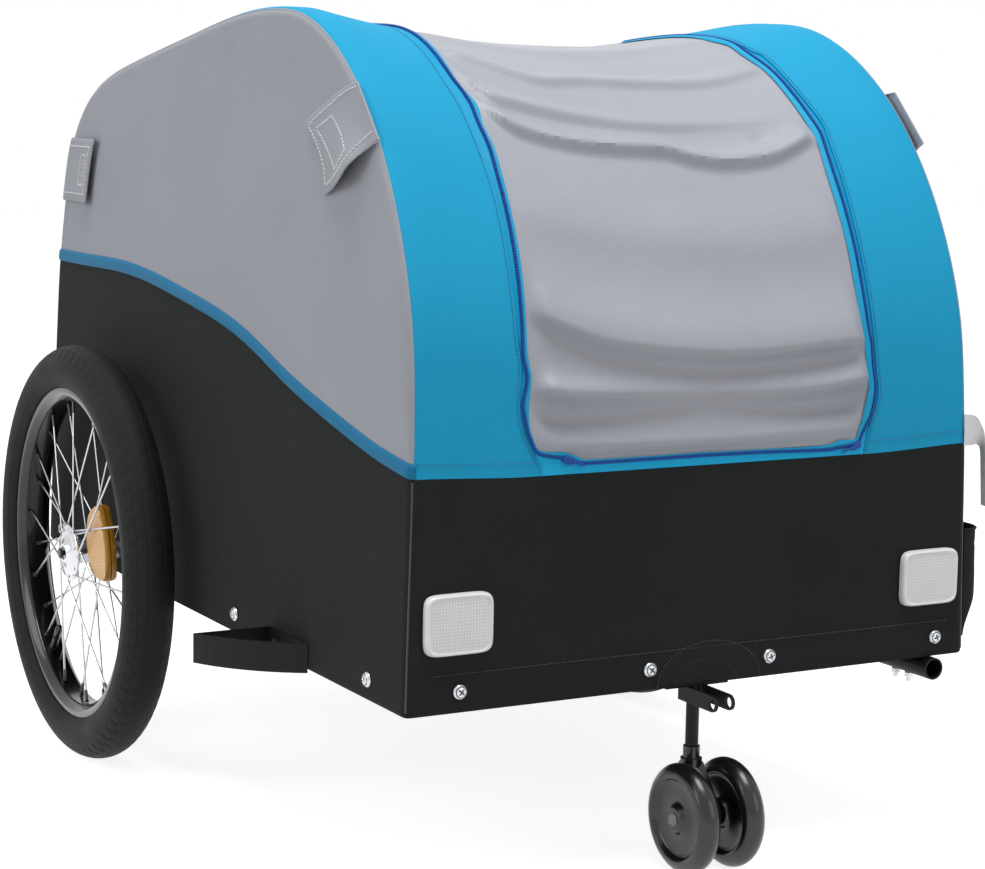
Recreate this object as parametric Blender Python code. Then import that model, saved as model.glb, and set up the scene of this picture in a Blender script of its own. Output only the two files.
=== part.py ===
"""Two-wheel cargo trailer for a bicycle: a cloth body on a steel bed, with a swivelling front caster.

Lengths are in metres. The bed has a frame of its own: x runs across, y runs from the front edge to the
rear and z stands on the underside of the cloth. That frame leans nose-down, as the trailer stands on
its caster, and the empty called stance carries it. +Z is up and the door faces -Y.
"""

import math

import bmesh
import bpy
import numpy as np
from mathutils import Matrix, Vector

# Clearances and stock
GAP = 0.0003
CLOTH = 0.002
DRILL_PLAY = 0.0004

# Stance
BED_TILT = math.radians(2.03)
BED_DROP = 0.048

# Body
BODY_LENGTH = 0.835
BODY_HALF = 0.2707
SIDE_LEAN = 0.0255
BELT_Z = 0.183
HEM = 0.0105
SAG_DEPTH = 0.027
SAG_PEAK = 0.64
SAG_END_BACK = 0.5391
HOOP_ZONE = 0.024

# Side view of the cloth, from the front bottom edge over the roof to the rear bottom edge
OUTLINE = (
    (0.000, 0.000),
    (0.001, 0.090),
    (0.002, 0.183),
    (0.005, 0.243),
    (0.010, 0.286),
    (0.021, 0.327),
    (0.052, 0.395),
    (0.102, 0.461),
    (0.160, 0.507),
    (0.228, 0.535),
    (0.285, 0.5405),
    (0.350, 0.538),
    (0.465, 0.522),
    (BODY_LENGTH - 0.217, 0.497),
    (BODY_LENGTH - 0.145, 0.481),
    (BODY_LENGTH - 0.090, 0.456),
    (BODY_LENGTH - 0.052, 0.418),
    (BODY_LENGTH - 0.032, 0.365),
    (BODY_LENGTH - 0.018, 0.304),
    (BODY_LENGTH - 0.010, 0.220),
    (BODY_LENGTH - 0.004, 0.110),
    (BODY_LENGTH, 0.000),
)

# Lower edge of the piping along each side, and its width
PIPING = (
    (0.000, 0.183),
    (0.057, 0.190),
    (0.114, 0.201),
    (0.177, 0.215),
    (0.240, 0.231),
    (0.309, 0.252),
    (0.381, 0.268),
    (0.458, 0.279),
    (0.539, 0.289),
    (0.625, 0.295),
    (BODY_LENGTH - 0.115, 0.295),
    (BODY_LENGTH, 0.295),
)
PIPING_WIDTH = 0.011
PIPING_PROUD = 0.0012

# Door and its zip
BAND_WIDTH = 0.1127
DOOR_HALF = BODY_HALF - BAND_WIDTH
DOOR_TOP_Y = 0.400
ZIP_WIDTH = 0.006
HEADER_END_Y = 0.445
ROOF_END_BACK = 0.5241

# Folds of the door: place up the cloth, rise at the near and far edge, height, half width
DOOR_FOLDS = (
    (0.526, 0.013, 0.013, 0.0045, 0.012),
    (0.432, 0.046, 0.006, 0.0060, 0.017),
    (0.270, 0.040, 0.008, 0.0080, 0.022),
    (0.229, 0.018, 0.008, 0.0050, 0.014),
)
FOLD_FADE = 0.03

# Bed frame
RAIL_WIDTH = 0.020
RAIL_HEIGHT = 0.040
RAIL_WALL = 0.0016
RAIL_SET = 0.0032
BEAM_WIDTH = 0.024
BUSH_LENGTH = 0.040
BUSH_R = 0.0112
BUSH_INSET = 0.001
BOARD = 0.003
HOOP_R = 0.008
COLLAR_R = 0.010
COLLAR_HEIGHT = 0.030
BELT_BAR_DROP = 0.014
REAR_BAR_BACK = 0.4791

# Screws through the cloth into the rails
SCREW_Z = 0.0170
SCREW_SHIFT = 0.007
SCREW_OUTER_INSET = 0.0402
SCREW_FRONT_INNER = 0.058
SCREW_SIDE_Y = (0.065, 0.330, BODY_LENGTH - 0.275, BODY_LENGTH - 0.045)
SHANK_R = 0.0025
HEAD_R = 0.0040
WASHER_R = 0.0062
WASHER_HEIGHT = 0.0020
HEAD_HEIGHT = 0.0022
SHANK_LENGTH = 0.010
SCREW_SIDES = 9

# Road wheels
RIM_R = 0.159
RIM_HALF = 0.0158
RIM_DEPTH = 0.012
RIM_INNER_R = RIM_R - RIM_DEPTH
TYRE_SECTION = 0.0235
TYRE_RISE = 0.041
TYRE_R = RIM_R + TYRE_RISE
BED_CLEAR = TYRE_R - BED_DROP
AXLE_BACK = 0.2197
AXLE_Y = BODY_LENGTH - AXLE_BACK
WHEEL_GAP = 0.0384
TRACK_HALF = BODY_HALF + WHEEL_GAP
RIM_WALL = 0.0022
HUB_HALF = 0.0205
FLANGE_X = 0.014
FLANGE_R = 0.027
FLANGE_THICK = 0.003
HUB_BODY_R = 0.013
HUB_END_R = 0.0095
AXLE_R = 0.006
SPOKES = 28
SPOKE_R = 0.0009
SPOKE_PITCH_R = 0.0235
SPOKE_CROSS = math.radians(51.4)
SPOKE_RIM_X = 0.003
SPOKE_SEAT = 0.0011
SPOKE_OFF = 0.0016
LENS_R = 0.058
LENS_DEPTH = 0.034
LENS_SPAN = 0.078
LENS_ANGLE = math.radians(163)
VALVE_R = 0.003
VALVE_LENGTH = 0.034
VALVE_ANGLE = math.radians(309)
BUTTON_R = 0.005
BUTTON_HEAD = 0.003
BUTTON_STEM_R = 0.0025
BUTTON_STEM = 0.016
BUTTON_TRAVEL = 0.003

# Wheel guards
GUARD_Y = 0.249
GUARD_FRONT_Y = 0.175
GUARD_REACH = 0.0713
GUARD_OUT = BODY_HALF + GUARD_REACH
GUARD_Z = -0.002
GUARD_HEIGHT = 0.025
GUARD_THICK = 0.003
GUARD_ARC_R = 0.160
GUARD_BOLT_Y = (0.192, 0.232)
BOLT_R = 0.003
BOLT_HEAD_R = 0.0055
BOLT_HEAD = 0.004
BOLT_REACH = 0.011

# Tow-arm socket under the front corner
TOW_INSET = 0.0362
TOW_X = BODY_HALF - TOW_INSET
TOW_R = 0.00965
TOW_WALL = 0.0016
TOW_FRONT = -0.0045
TOW_LENGTH = 0.120
TOW_BOLT_BACK = (0.033, 0.051)
TOW_BOLT_R = 0.0025
TOW_NUT_R = 0.0043
TOW_NUT = 0.0035
TOW_TAIL = 0.004
GUSSET_HALF = 0.020
GUSSET_THICK = 0.003
GUSSET_LIFT = 0.0004

# Caster
STEM_Y = 0.0135
STEM_R = 0.0055
STEM_END = -0.054
COLLAR_TOP_R = 0.0070
COLLAR_TOP = 0.010
COLLAR_LOW_R = 0.0090
COLLAR_LOW = 0.007
CASTER_TRAIL = 0.0238
CASTER_R = 0.045
CASTER_X = 0.0215
CASTER_WIDTH = 0.020
CASTER_AXLE_R = 0.0030
CASTER_CAP_R = 0.0055
FORK_HALF = 0.0080
FORK_NECK = 0.006
FORK_BOSS_R = 0.011
PLATE_HALF = 0.030
PLATE_DEPTH = 0.040
PLATE_THICK = 0.003
EAR_X = 0.0068
EAR_THICK = 0.0025
EAR_HEIGHT = 0.013
EAR_HOLE_R = 0.0045
EAR_HOLE_Y = -0.027
EAR_ROOT = 0.014

# Small cloth pieces
TAB_ROOT = ((0.122, 0.476), (0.076, 0.436))
TAB_FREE = ((0.220, 0.445), (0.174, 0.388))
TAB_LIFT = 0.009
TAB_THICK = 0.0022
REAR_TAB_Z = (0.357, 0.421)
REAR_TAB_Y = BODY_LENGTH - 0.120
REAR_TAB_WRAP = 0.034
LENS_FRONT_INSET = 0.0442
LENS_FRONT_X = BODY_HALF - LENS_FRONT_INSET
LENS_FRONT_Z = 0.0705
LENS_FRONT_W = 0.059
LENS_FRONT_H = 0.048
LENS_FRONT_D = 0.0065
POCKET_Z = (0.014, 0.107)
POCKET_Y = (0.004, 0.056)
POCKET_BULGE = 0.027
LABEL_THICK = 0.0012

# Edges of the sewn label: out from the side, y and height, from its seam to its hanging end
LABEL_EDGE_A = (
    (0.0000, 0.0030, 0.208),
    (0.0090, 0.0020, 0.206),
    (0.0160, 0.0020, 0.197),
    (0.0195, 0.0030, 0.183),
    (0.0210, 0.0040, 0.155),
    (0.0220, 0.0050, 0.118),
)
LABEL_EDGE_B = (
    (0.0000, 0.0030, 0.181),
    (0.0080, 0.0060, 0.1805),
    (0.0150, 0.0110, 0.180),
    (0.0195, 0.0200, 0.174),
    (0.0215, 0.0280, 0.150),
    (0.0225, 0.0310, 0.116),
)


def natural_spline(points):
    """A smooth curve through points, as a function of arc length, and its length."""
    pts = np.array(points, dtype=float)
    knots = np.concatenate([[0.0], np.cumsum(np.hypot(*np.diff(pts, axis=0).T))])
    count = len(pts)
    step = np.diff(knots)
    system = np.eye(count)
    right = np.zeros_like(pts)
    for i in range(1, count - 1):
        system[i, i - 1] = step[i - 1]
        system[i, i] = 2 * (step[i - 1] + step[i])
        system[i, i + 1] = step[i]
        right[i] = 6 * ((pts[i + 1] - pts[i]) / step[i] - (pts[i] - pts[i - 1]) / step[i - 1])
    bend = np.linalg.solve(system, right)

    def at(s):
        s = min(max(s, 0.0), knots[-1])
        i = min(int(np.searchsorted(knots, s, side="right")) - 1, count - 2)
        h = step[i]
        a = (knots[i + 1] - s) / h
        b = (s - knots[i]) / h
        place = a * pts[i] + b * pts[i + 1]
        place = place + ((a**3 - a) * bend[i] + (b**3 - b) * bend[i + 1]) * h * h / 6
        slope = (pts[i + 1] - pts[i]) / h
        slope = slope + ((3 * b * b - 1) * bend[i + 1] - (3 * a * a - 1) * bend[i]) * h / 6
        return place, slope / np.linalg.norm(slope)

    return at, knots[-1]


outline_at, OUTLINE_LENGTH = natural_spline(OUTLINE)
piping_at, PIPING_LENGTH = natural_spline(PIPING)
CREST_S = max(np.linspace(0, OUTLINE_LENGTH, 400), key=lambda s: outline_at(s)[0][1])
SAG_END = OUTLINE_LENGTH - SAG_END_BACK
ROOF_END_S = OUTLINE_LENGTH - ROOF_END_BACK
REAR_BAR_S = OUTLINE_LENGTH - REAR_BAR_BACK


def solve_s(test, low, high):
    """The arc length between low and high where test changes sign."""
    rising = test(high) > 0
    for _ in range(50):
        middle = 0.5 * (low + high)
        if (test(middle) > 0) == rising:
            high = middle
        else:
            low = middle
    return 0.5 * (low + high)


BELT_S = solve_s(lambda s: outline_at(s)[0][1] - BELT_Z, 0.0, CREST_S)
DOOR_TOP_S = solve_s(lambda s: outline_at(s)[0][0] - DOOR_TOP_Y, 0.0, OUTLINE_LENGTH)
HEADER_END_S = solve_s(lambda s: outline_at(s)[0][0] - HEADER_END_Y, 0.0, OUTLINE_LENGTH)
SIDE_PIPE_Z = PIPING[-1][1]
REAR_PIPE_S = solve_s(lambda s: outline_at(s)[0][1] - SIDE_PIPE_Z, CREST_S, OUTLINE_LENGTH)


def front_y(z):
    """The front outline's y at a height, and its arc length."""
    s = solve_s(lambda t: outline_at(t)[0][1] - z, 0.0, CREST_S)
    return outline_at(s)[0][0], s


def rear_y(z):
    """The rear outline's y at a height, and its arc length."""
    s = solve_s(lambda t: outline_at(t)[0][1] - z, CREST_S, OUTLINE_LENGTH)
    return outline_at(s)[0][0], s


def half_width(z):
    """Outer face of a side panel at a height."""
    return BODY_HALF - SIDE_LEAN * z


def smooth(t):
    t = min(max(t, 0.0), 1.0)
    return t * t * (3 - 2 * t)


def sag(x, s):
    """How far the cloth over the hoops hangs below a straight line between them."""
    if s < SAG_PEAK:
        depth = smooth((s - BELT_S) / (SAG_PEAK - BELT_S))
    else:
        depth = smooth((SAG_END - s) / (SAG_END - SAG_PEAK))
    reach = half_width(outline_at(s)[0][1]) - HOOP_ZONE
    across = max(0.0, 1 - (x / reach) ** 2)
    return SAG_DEPTH * depth * across


def wrap_point(x, s, depth=0.0, lift=0.0):
    """A point of the wrapped cloth: x across, s up the outline, depth below its outer face."""
    (y, z), (ty, tz) = outline_at(s)
    inward = sag(x, s) + depth - lift
    return Vector((x, y + tz * inward, z - ty * inward))


def fold_height(x, s):
    """Rolls of loose cloth across the door, flat along its zips."""
    height = 0.0
    for place, near_rise, far_rise, top, width in DOOR_FOLDS:
        rise = near_rise if x < 0 else far_rise
        crest = place + rise * (x / DOOR_HALF) ** 2
        height += top * math.exp(-(((s - crest) / width) ** 2))
    side = smooth((DOOR_HALF - abs(x)) / FOLD_FADE)
    end = smooth((DOOR_TOP_S - s) / FOLD_FADE) * smooth((s - BELT_S - HEM) / FOLD_FADE)
    return height * side * end


for leftover in list(bpy.data.objects):
    bpy.data.objects.remove(leftover, do_unlink=True)

sin_tilt, cos_tilt = math.sin(BED_TILT), math.cos(BED_TILT)


def bed_height(y, height):
    """The z in the bed's frame of a point at a height above the ground."""
    return (height - BED_CLEAR - y * sin_tilt) / cos_tilt


AXLE_Z = bed_height(AXLE_Y, TYRE_R)
CASTER_AXLE_Y = STEM_Y - CASTER_TRAIL
CASTER_AXLE_Z = bed_height(CASTER_AXLE_Y, CASTER_R)
REACH_FRONT = CASTER_AXLE_Y * cos_tilt - CASTER_AXLE_Z * sin_tilt - CASTER_R
REACH_REAR = BODY_LENGTH * cos_tilt + WASHER_HEIGHT + HEAD_HEIGHT
MIDDLE_Y = 0.5 * (REACH_FRONT + REACH_REAR)

stance = bpy.data.objects.new("stance", None)
stance.matrix_world = Matrix.Translation((0, -MIDDLE_Y, BED_CLEAR)) @ Matrix.Rotation(BED_TILT, 4, "X")
bpy.context.collection.objects.link(stance)


def pivot(name, place, parent=stance, turn=(0, 0, 0)):
    """An empty on a joint's axis."""
    empty = bpy.data.objects.new(name, None)
    empty.parent = parent
    empty.location = place
    empty.rotation_euler = turn
    bpy.context.collection.objects.link(empty)
    return empty


def finish(name, colour, roughness, metallic=0.0):
    material = bpy.data.materials.new(name)
    material.use_nodes = True
    shader = material.node_tree.nodes["Principled BSDF"]
    shader.inputs["Base Color"].default_value = (*colour, 1)
    shader.inputs["Roughness"].default_value = roughness
    shader.inputs["Metallic"].default_value = metallic
    material.diffuse_color = (*colour, 1)
    return material


def place(name, bm, material, parent=stance, smooth_angle=None):
    """Turn a bmesh into a named object whose faces point out."""
    bmesh.ops.recalc_face_normals(bm, faces=bm.faces)
    mesh = bpy.data.meshes.new(name)
    bm.to_mesh(mesh)
    bm.free()
    if smooth_angle is not None:
        mesh.shade_smooth()
        mesh.set_sharp_from_angle(angle=math.radians(smooth_angle))
    mesh.materials.append(material)
    thing = bpy.data.objects.new(name, mesh)
    thing.parent = parent
    bpy.context.collection.objects.link(thing)
    return thing


def copy_material(material, name):
    twin = material.copy()
    twin.name = name
    return twin


def add_grid(bm, rows):
    """Join rows of points into faces and return the vertices."""
    verts = [[bm.verts.new(p) for p in row] for row in rows]
    for low, high in zip(verts[:-1], verts[1:]):
        for i in range(len(low) - 1):
            bm.faces.new((low[i], low[i + 1], high[i + 1], high[i]))
    return verts


def add_sheet(bm, point, columns, rows, thickness):
    """A closed thin sheet. point(u, v, depth) runs over u and v from 0 to 1."""
    layers = []
    for depth in (0.0, thickness):
        grid = [[point(i / columns, j / rows, depth) for i in range(columns + 1)] for j in range(rows + 1)]
        layers.append(add_grid(bm, grid))
    top, under = layers
    ring = [(0, i) for i in range(columns)]
    ring += [(j, columns) for j in range(rows)]
    ring += [(rows, i) for i in range(columns, 0, -1)]
    ring += [(j, 0) for j in range(rows, 0, -1)]
    for (j0, i0), (j1, i1) in zip(ring, ring[1:] + ring[:1]):
        bm.faces.new((top[j0][i0], top[j1][i1], under[j1][i1], under[j0][i0]))


def add_cloth(bm, columns, rows, point, present, thickness):
    """A closed sheet over the cells of a grid that are present, so it can go round an opening.

    point(column, row, depth) gives a corner, and present(i, j) tells whether a cell has cloth."""
    corners = {}

    def corner(i, j, layer):
        if (i, j, layer) not in corners:
            corners[i, j, layer] = bm.verts.new(point(columns[i], rows[j], layer * thickness))
        return corners[i, j, layer]

    across, up = len(columns) - 1, len(rows) - 1
    cells = {(i, j) for i in range(across) for j in range(up) if present(i, j)}
    for i, j in sorted(cells):
        loop = ((i, j), (i + 1, j), (i + 1, j + 1), (i, j + 1))
        for layer in (0, 1):
            bm.faces.new([corner(a, b, layer) for a, b in loop])
        beyond = ((i, j - 1), (i + 1, j), (i, j + 1), (i - 1, j))
        for k, cell in enumerate(beyond):
            if cell not in cells:
                (a, b), (c, d) = loop[k], loop[(k + 1) % 4]
                bm.faces.new((corner(a, b, 0), corner(c, d, 0), corner(c, d, 1), corner(a, b, 1)))


def spread(low, high, count):
    """Evenly spaced values from low to high."""
    return [low + (high - low) * i / count for i in range(count + 1)]


def add_slab(bm, near, far):
    """A closed body between two outlines with the same number of points."""
    a = [bm.verts.new(p) for p in near]
    b = [bm.verts.new(p) for p in far]
    bm.faces.new(a)
    bm.faces.new(list(reversed(b)))
    for i in range(len(a)):
        j = (i + 1) % len(a)
        bm.faces.new((a[i], a[j], b[j], b[i]))


def add_box(bm, low, high):
    corners = ((0, 0), (1, 0), (1, 1), (0, 1))
    pick = (low, high)
    near = [(pick[a][0], pick[b][1], low[2]) for a, b in corners]
    far = [(x, y, high[2]) for x, y, _ in near]
    add_slab(bm, near, far)


def add_turned(bm, profile, steps, axis_point, axis, closed=True):
    """Turn a profile of (along, radius) pairs about an axis.

    A closed profile makes a ring, and an open one starts and ends on the axis."""
    axis = Vector(axis).normalized()
    side = axis.orthogonal().normalized()
    start = Vector(axis_point)
    before = set(bm.verts)
    verts = [bm.verts.new(start + axis * along + side * radius) for along, radius in profile]
    edges = [bm.edges.new(pair) for pair in zip(verts[:-1], verts[1:])]
    if closed:
        edges.append(bm.edges.new((verts[-1], verts[0])))
    bmesh.ops.spin(
        bm, geom=verts + edges, cent=start, axis=axis, angle=2 * math.pi, steps=steps, use_merge=True
    )
    fresh = [v for v in bm.verts if v not in before]
    bmesh.ops.remove_doubles(bm, verts=fresh, dist=0.000001)


def rod(bm, start, end, radius, sides):
    """A round bar with flat ends."""
    start, end = Vector(start), Vector(end)
    length = (end - start).length
    add_turned(bm, ((0, 0), (0, radius), (length, radius), (length, 0)), sides, start, end - start, False)


def operand(target, bm, ending, operation):
    """Apply a mesh to a target as a Boolean that stays on it."""
    helper = place(target.name + ending, bm, cutter_finish)
    helper.parent = target.parent
    helper.hide_render = True
    helper.display_type = "WIRE"
    step = target.modifiers.new(ending.strip("_"), "BOOLEAN")
    step.operation = operation
    step.solver = "EXACT"
    step.object = helper


def drill(target, bores, sides=10):
    """Cut round holes. Each bore is (start, end, radius)."""
    bm = bmesh.new()
    for start, end, radius in bores:
        rod(bm, start, end, radius, sides)
    operand(target, bm, "_bores", "DIFFERENCE")


def weld(target, bm, ending="_welded"):
    """Make bodies that overlap a target one with it."""
    operand(target, bm, ending, "UNION")


cutter_finish = finish("cutter", (1, 0, 0), 0.5)
black_cloth = finish("black_cloth", (0.020, 0.021, 0.022), 0.85)
grey_cloth = finish("grey_cloth", (0.31, 0.32, 0.37), 0.8)
blue_cloth = finish("blue_cloth", (0.02, 0.32, 0.52), 0.75)
piping_cloth = finish("piping_cloth", (0.012, 0.17, 0.35), 0.7)
zip_tape = finish("zip_tape", (0.01, 0.33, 0.66), 0.6)
white_cloth = finish("white_cloth", (0.85, 0.85, 0.86), 0.8)
black_steel = finish("black_steel", (0.012, 0.012, 0.013), 0.3)
zinc_steel = finish("zinc_steel", (0.55, 0.56, 0.58), 0.3, 1.0)
hub_alloy = finish("hub_alloy", (0.6, 0.6, 0.62), 0.25, 1.0)
tyre_rubber = finish("tyre_rubber", (0.015, 0.015, 0.016), 0.7)
caster_plastic = finish("caster_plastic", (0.014, 0.016, 0.015), 0.3)
cap_plastic = finish("cap_plastic", (0.22, 0.22, 0.22), 0.45)
board_plastic = finish("board_plastic", (0.03, 0.03, 0.032), 0.6)
white_lens = finish("white_lens", (0.7, 0.71, 0.72), 0.3)
amber_lens = finish("amber_lens", (0.72, 0.32, 0.01), 0.2)


def own(material, node):
    """A material of its own for a node."""
    return copy_material(material, node + "_finish")


def wrap_sheet(node, material, left, right, low_s, high_s, columns, rows):
    """A piece of the wrapped cloth between two edges. left and right give x at a height."""
    bm = bmesh.new()

    def point(u, v, depth):
        s = low_s + (high_s - low_s) * v
        z = outline_at(s)[0][1]
        x = left(z) + (right(z) - left(z)) * u
        return wrap_point(x, s, depth)

    add_sheet(bm, point, columns, rows, CLOTH)
    return place(node, bm, own(material, node), smooth_angle=40)


def wrap_edge(z):
    return half_width(z) - CLOTH - GAP


def fixed(x):
    return lambda z: x


# Cloth wrapped over the hoops
ZIP_IN = DOOR_HALF + GAP
ZIP_OUT = ZIP_IN + ZIP_WIDTH
SILL_S = BELT_S + GAP
ZIP_LOW_S = SILL_S + HEM - ZIP_WIDTH
DOOR_LOW_S = ZIP_LOW_S + ZIP_WIDTH + GAP

tub_front = wrap_sheet(
    "tub_front_panel", black_cloth, lambda z: -wrap_edge(z), wrap_edge, 0.0, BELT_S, 6, 2
)


def cloth_point(column, s, depth):
    return wrap_point(column(outline_at(s)[0][1]), s, depth)


# Blue surround of the door: sill, uprights and header in one piece
BAND_COLUMNS = 3
DOOR_SPAN = 8
SURROUND_ROWS = 12
inner_edge = ZIP_OUT + GAP
band = spread(0, 1, BAND_COLUMNS)
columns = [lambda z, t=t: -wrap_edge(z) + (wrap_edge(z) - inner_edge) * t for t in band]
columns += [fixed(x) for x in spread(-inner_edge, inner_edge, DOOR_SPAN)[1:-1]]
columns += [lambda z, t=t: inner_edge + (wrap_edge(z) - inner_edge) * t for t in band]
rows = [SILL_S] + spread(ZIP_LOW_S - GAP, DOOR_TOP_S + 2 * GAP, SURROUND_ROWS)
header_row = len(rows) - 1
rows += spread(rows[-1], HEADER_END_S, 3)[1:]


def around_door(i, j):
    beside = i < BAND_COLUMNS or i >= BAND_COLUMNS + DOOR_SPAN
    return beside or j == 0 or j >= header_row


bm = bmesh.new()
add_cloth(bm, columns, rows, cloth_point, around_door, CLOTH)
place("door_surround", bm, own(blue_cloth, "door_surround"), smooth_angle=40)
wrap_sheet(
    "roof_panel", grey_cloth, lambda z: -wrap_edge(z), wrap_edge, HEADER_END_S + GAP, ROOF_END_S, 10, 7
)
REAR_TOP_S = REAR_PIPE_S - PIPING_WIDTH - GAP
wrap_sheet(
    "rear_upper_panel", grey_cloth, lambda z: -wrap_edge(z), wrap_edge, ROOF_END_S + GAP, REAR_TOP_S, 6, 6
)
TUB_REAR_S = REAR_PIPE_S + GAP
tub_rear = wrap_sheet(
    "tub_rear_panel", black_cloth, lambda z: -wrap_edge(z), wrap_edge, TUB_REAR_S, OUTLINE_LENGTH, 6, 3
)

# Door: it lifts about the level of the upper corners, so that its sagging top edge leaves the header
door_corner = wrap_point(DOOR_HALF, DOOR_TOP_S - GAP)
door_axis = pivot("door_axis", (0, door_corner.y, door_corner.z))
DOOR_COLUMNS = 14
DOOR_ROWS = 23


def door_point(u, v, depth):
    x = DOOR_HALF * (2 * u - 1)
    s = DOOR_LOW_S + (DOOR_TOP_S - GAP - DOOR_LOW_S) * v
    return wrap_point(x, s, depth, fold_height(x, s)) - door_axis.location


bm = bmesh.new()
add_sheet(bm, door_point, DOOR_COLUMNS, DOOR_ROWS, CLOTH)
place("door_panel", bm, own(grey_cloth, "door_panel"), door_axis, 40)

# Zip round three sides of the door
bm = bmesh.new()
columns = [fixed(x) for x in [-ZIP_OUT] + spread(-ZIP_IN, ZIP_IN, DOOR_SPAN) + [ZIP_OUT]]
rows = [ZIP_LOW_S] + spread(ZIP_LOW_S + ZIP_WIDTH, DOOR_TOP_S + GAP, SURROUND_ROWS)
add_cloth(bm, columns, rows, cloth_point, lambda i, j: j == 0 or i in (0, DOOR_SPAN + 1), CLOTH)
place("door_zip", bm, own(zip_tape, "door_zip"), smooth_angle=40)


# Side panels and piping
def side_slab(bm, sign, outline, thickness=CLOTH, proud=0.0):
    """A panel in the leaning plane of one side."""
    near = [(sign * (half_width(z) + proud), y, z) for y, z in outline]
    far = [(sign * (half_width(z) - thickness), y, z) for y, z in outline]
    add_slab(bm, near, far)


def outline_run(low_s, high_s, count):
    return [tuple(outline_at(low_s + (high_s - low_s) * i / count)[0]) for i in range(count + 1)]


def piping_run(rise, count, start, end):
    """Points of the piping's edge from one y to another."""
    points = []
    for i in range(count + 1):
        y = start + (end - start) * i / count
        s = solve_s(lambda t: piping_at(t)[0][0] - y, 0.0, PIPING_LENGTH)
        points.append((y, piping_at(s)[0][1] + rise))
    return points


PIPE_STEPS = 14
pipe_front_z = PIPING[0][1]
tub_sides = {}
for side, sign in (("right", -1), ("left", 1)):
    low_y, low_s = front_y(pipe_front_z - GAP)
    back_y, back_s = rear_y(SIDE_PIPE_Z - GAP)
    edge = piping_run(-GAP, PIPE_STEPS, low_y, back_y)
    outline = outline_run(0.0, low_s, 3)[:-1] + edge + outline_run(back_s, OUTLINE_LENGTH, 4)[1:]
    bm = bmesh.new()
    side_slab(bm, sign, outline)
    node = "tub_side_" + side
    tub_sides[side] = place(node, bm, own(black_cloth, node))

    top_y, top_s = front_y(pipe_front_z + PIPING_WIDTH + GAP)
    end_y, end_s = rear_y(SIDE_PIPE_Z + PIPING_WIDTH + GAP)
    edge = piping_run(PIPING_WIDTH + GAP, PIPE_STEPS, top_y, end_y)
    outline = list(reversed(edge)) + outline_run(top_s, end_s, 34)[1:-1]
    bm = bmesh.new()
    side_slab(bm, sign, outline)
    node = "cover_side_" + side
    place(node, bm, own(grey_cloth, node))

PIPE_TOP_Z = SIDE_PIPE_Z + PIPING_WIDTH


def side_piping(sign):
    bm = bmesh.new()
    high_front = front_y(pipe_front_z + PIPING_WIDTH)[0]
    low = piping_run(0.0, PIPE_STEPS, front_y(pipe_front_z)[0], rear_y(SIDE_PIPE_Z)[0])
    high = piping_run(PIPING_WIDTH, PIPE_STEPS, high_front, rear_y(PIPE_TOP_Z)[0])
    side_slab(bm, sign, low + list(reversed(high)), CLOTH, PIPING_PROUD)
    return bm


def rear_pipe(u, v, depth):
    x = (half_width(PIPE_TOP_Z) - CLOTH / 2) * (2 * u - 1)
    return wrap_point(x, REAR_PIPE_S - PIPING_WIDTH * v, depth, PIPING_PROUD)


piping = place("body_piping", side_piping(-1), own(piping_cloth, "body_piping"), smooth_angle=40)
bm = bmesh.new()
add_sheet(bm, rear_pipe, 2, 1, CLOTH + PIPING_PROUD)
weld(piping, bm, "_rear")
weld(piping, side_piping(1), "_left")

# Floor
FLOOR_HALF = half_width(CLOTH) - CLOTH - GAP
FLOOR_FRONT = RAIL_SET
FLOOR_BACK = BODY_LENGTH - RAIL_SET
bm = bmesh.new()
add_box(bm, (-FLOOR_HALF, FLOOR_FRONT, 0.0), (FLOOR_HALF, FLOOR_BACK, CLOTH))
floor_cloth = place("floor_cloth", bm, own(black_cloth, "floor_cloth"))

RAIL_LOW = CLOTH + GAP
RAIL_TOP = RAIL_LOW + RAIL_HEIGHT
RAIL_OUT = half_width(RAIL_TOP) - CLOTH - GAP
RAIL_IN = RAIL_OUT - RAIL_WIDTH
BED_BACK = rear_y(RAIL_TOP)[0] - CLOTH - 2 * GAP


def add_tube(bm, low, high, along):
    """A square-section tube with open ends. along is the axis index that it runs on."""
    across = [i for i in range(3) if i != along]

    def ring(inset, end):
        points = []
        for a, b in ((0, 0), (1, 0), (1, 1), (0, 1)):
            p = [0.0, 0.0, 0.0]
            p[along] = (low, high)[end][along]
            p[across[0]] = (low[across[0]] + inset, high[across[0]] - inset)[a]
            p[across[1]] = (low[across[1]] + inset, high[across[1]] - inset)[b]
            points.append(bm.verts.new(p))
        return points

    outer = [ring(0.0, 0), ring(0.0, 1)]
    inner = [ring(RAIL_WALL, 0), ring(RAIL_WALL, 1)]
    for i in range(4):
        j = (i + 1) % 4
        bm.faces.new((outer[0][i], outer[0][j], outer[1][j], outer[1][i]))
        bm.faces.new((inner[0][i], inner[0][j], inner[1][j], inner[1][i]))
        bm.faces.new((outer[0][i], outer[0][j], inner[0][j], inner[0][i]))
        bm.faces.new((outer[1][i], outer[1][j], inner[1][j], inner[1][i]))


HOOP_INSET = CLOTH + GAP + COLLAR_R


def hoop_point(sign, s):
    """Centre line of a hoop, inside the cloth and the collars."""
    (y, z), (ty, tz) = outline_at(s)
    y, z = y + tz * HOOP_INSET, z - ty * HOOP_INSET
    return Vector((sign * (half_width(z) - HOOP_INSET), y, z))


HOOP_FOOT = RAIL_TOP + 2 * GAP
FOOT_FRONT_S = solve_s(lambda s: hoop_point(1, s).z - HOOP_FOOT, 0.0, CREST_S)
FOOT_BACK_S = solve_s(lambda s: hoop_point(1, s).z - HOOP_FOOT, CREST_S, OUTLINE_LENGTH)

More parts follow.
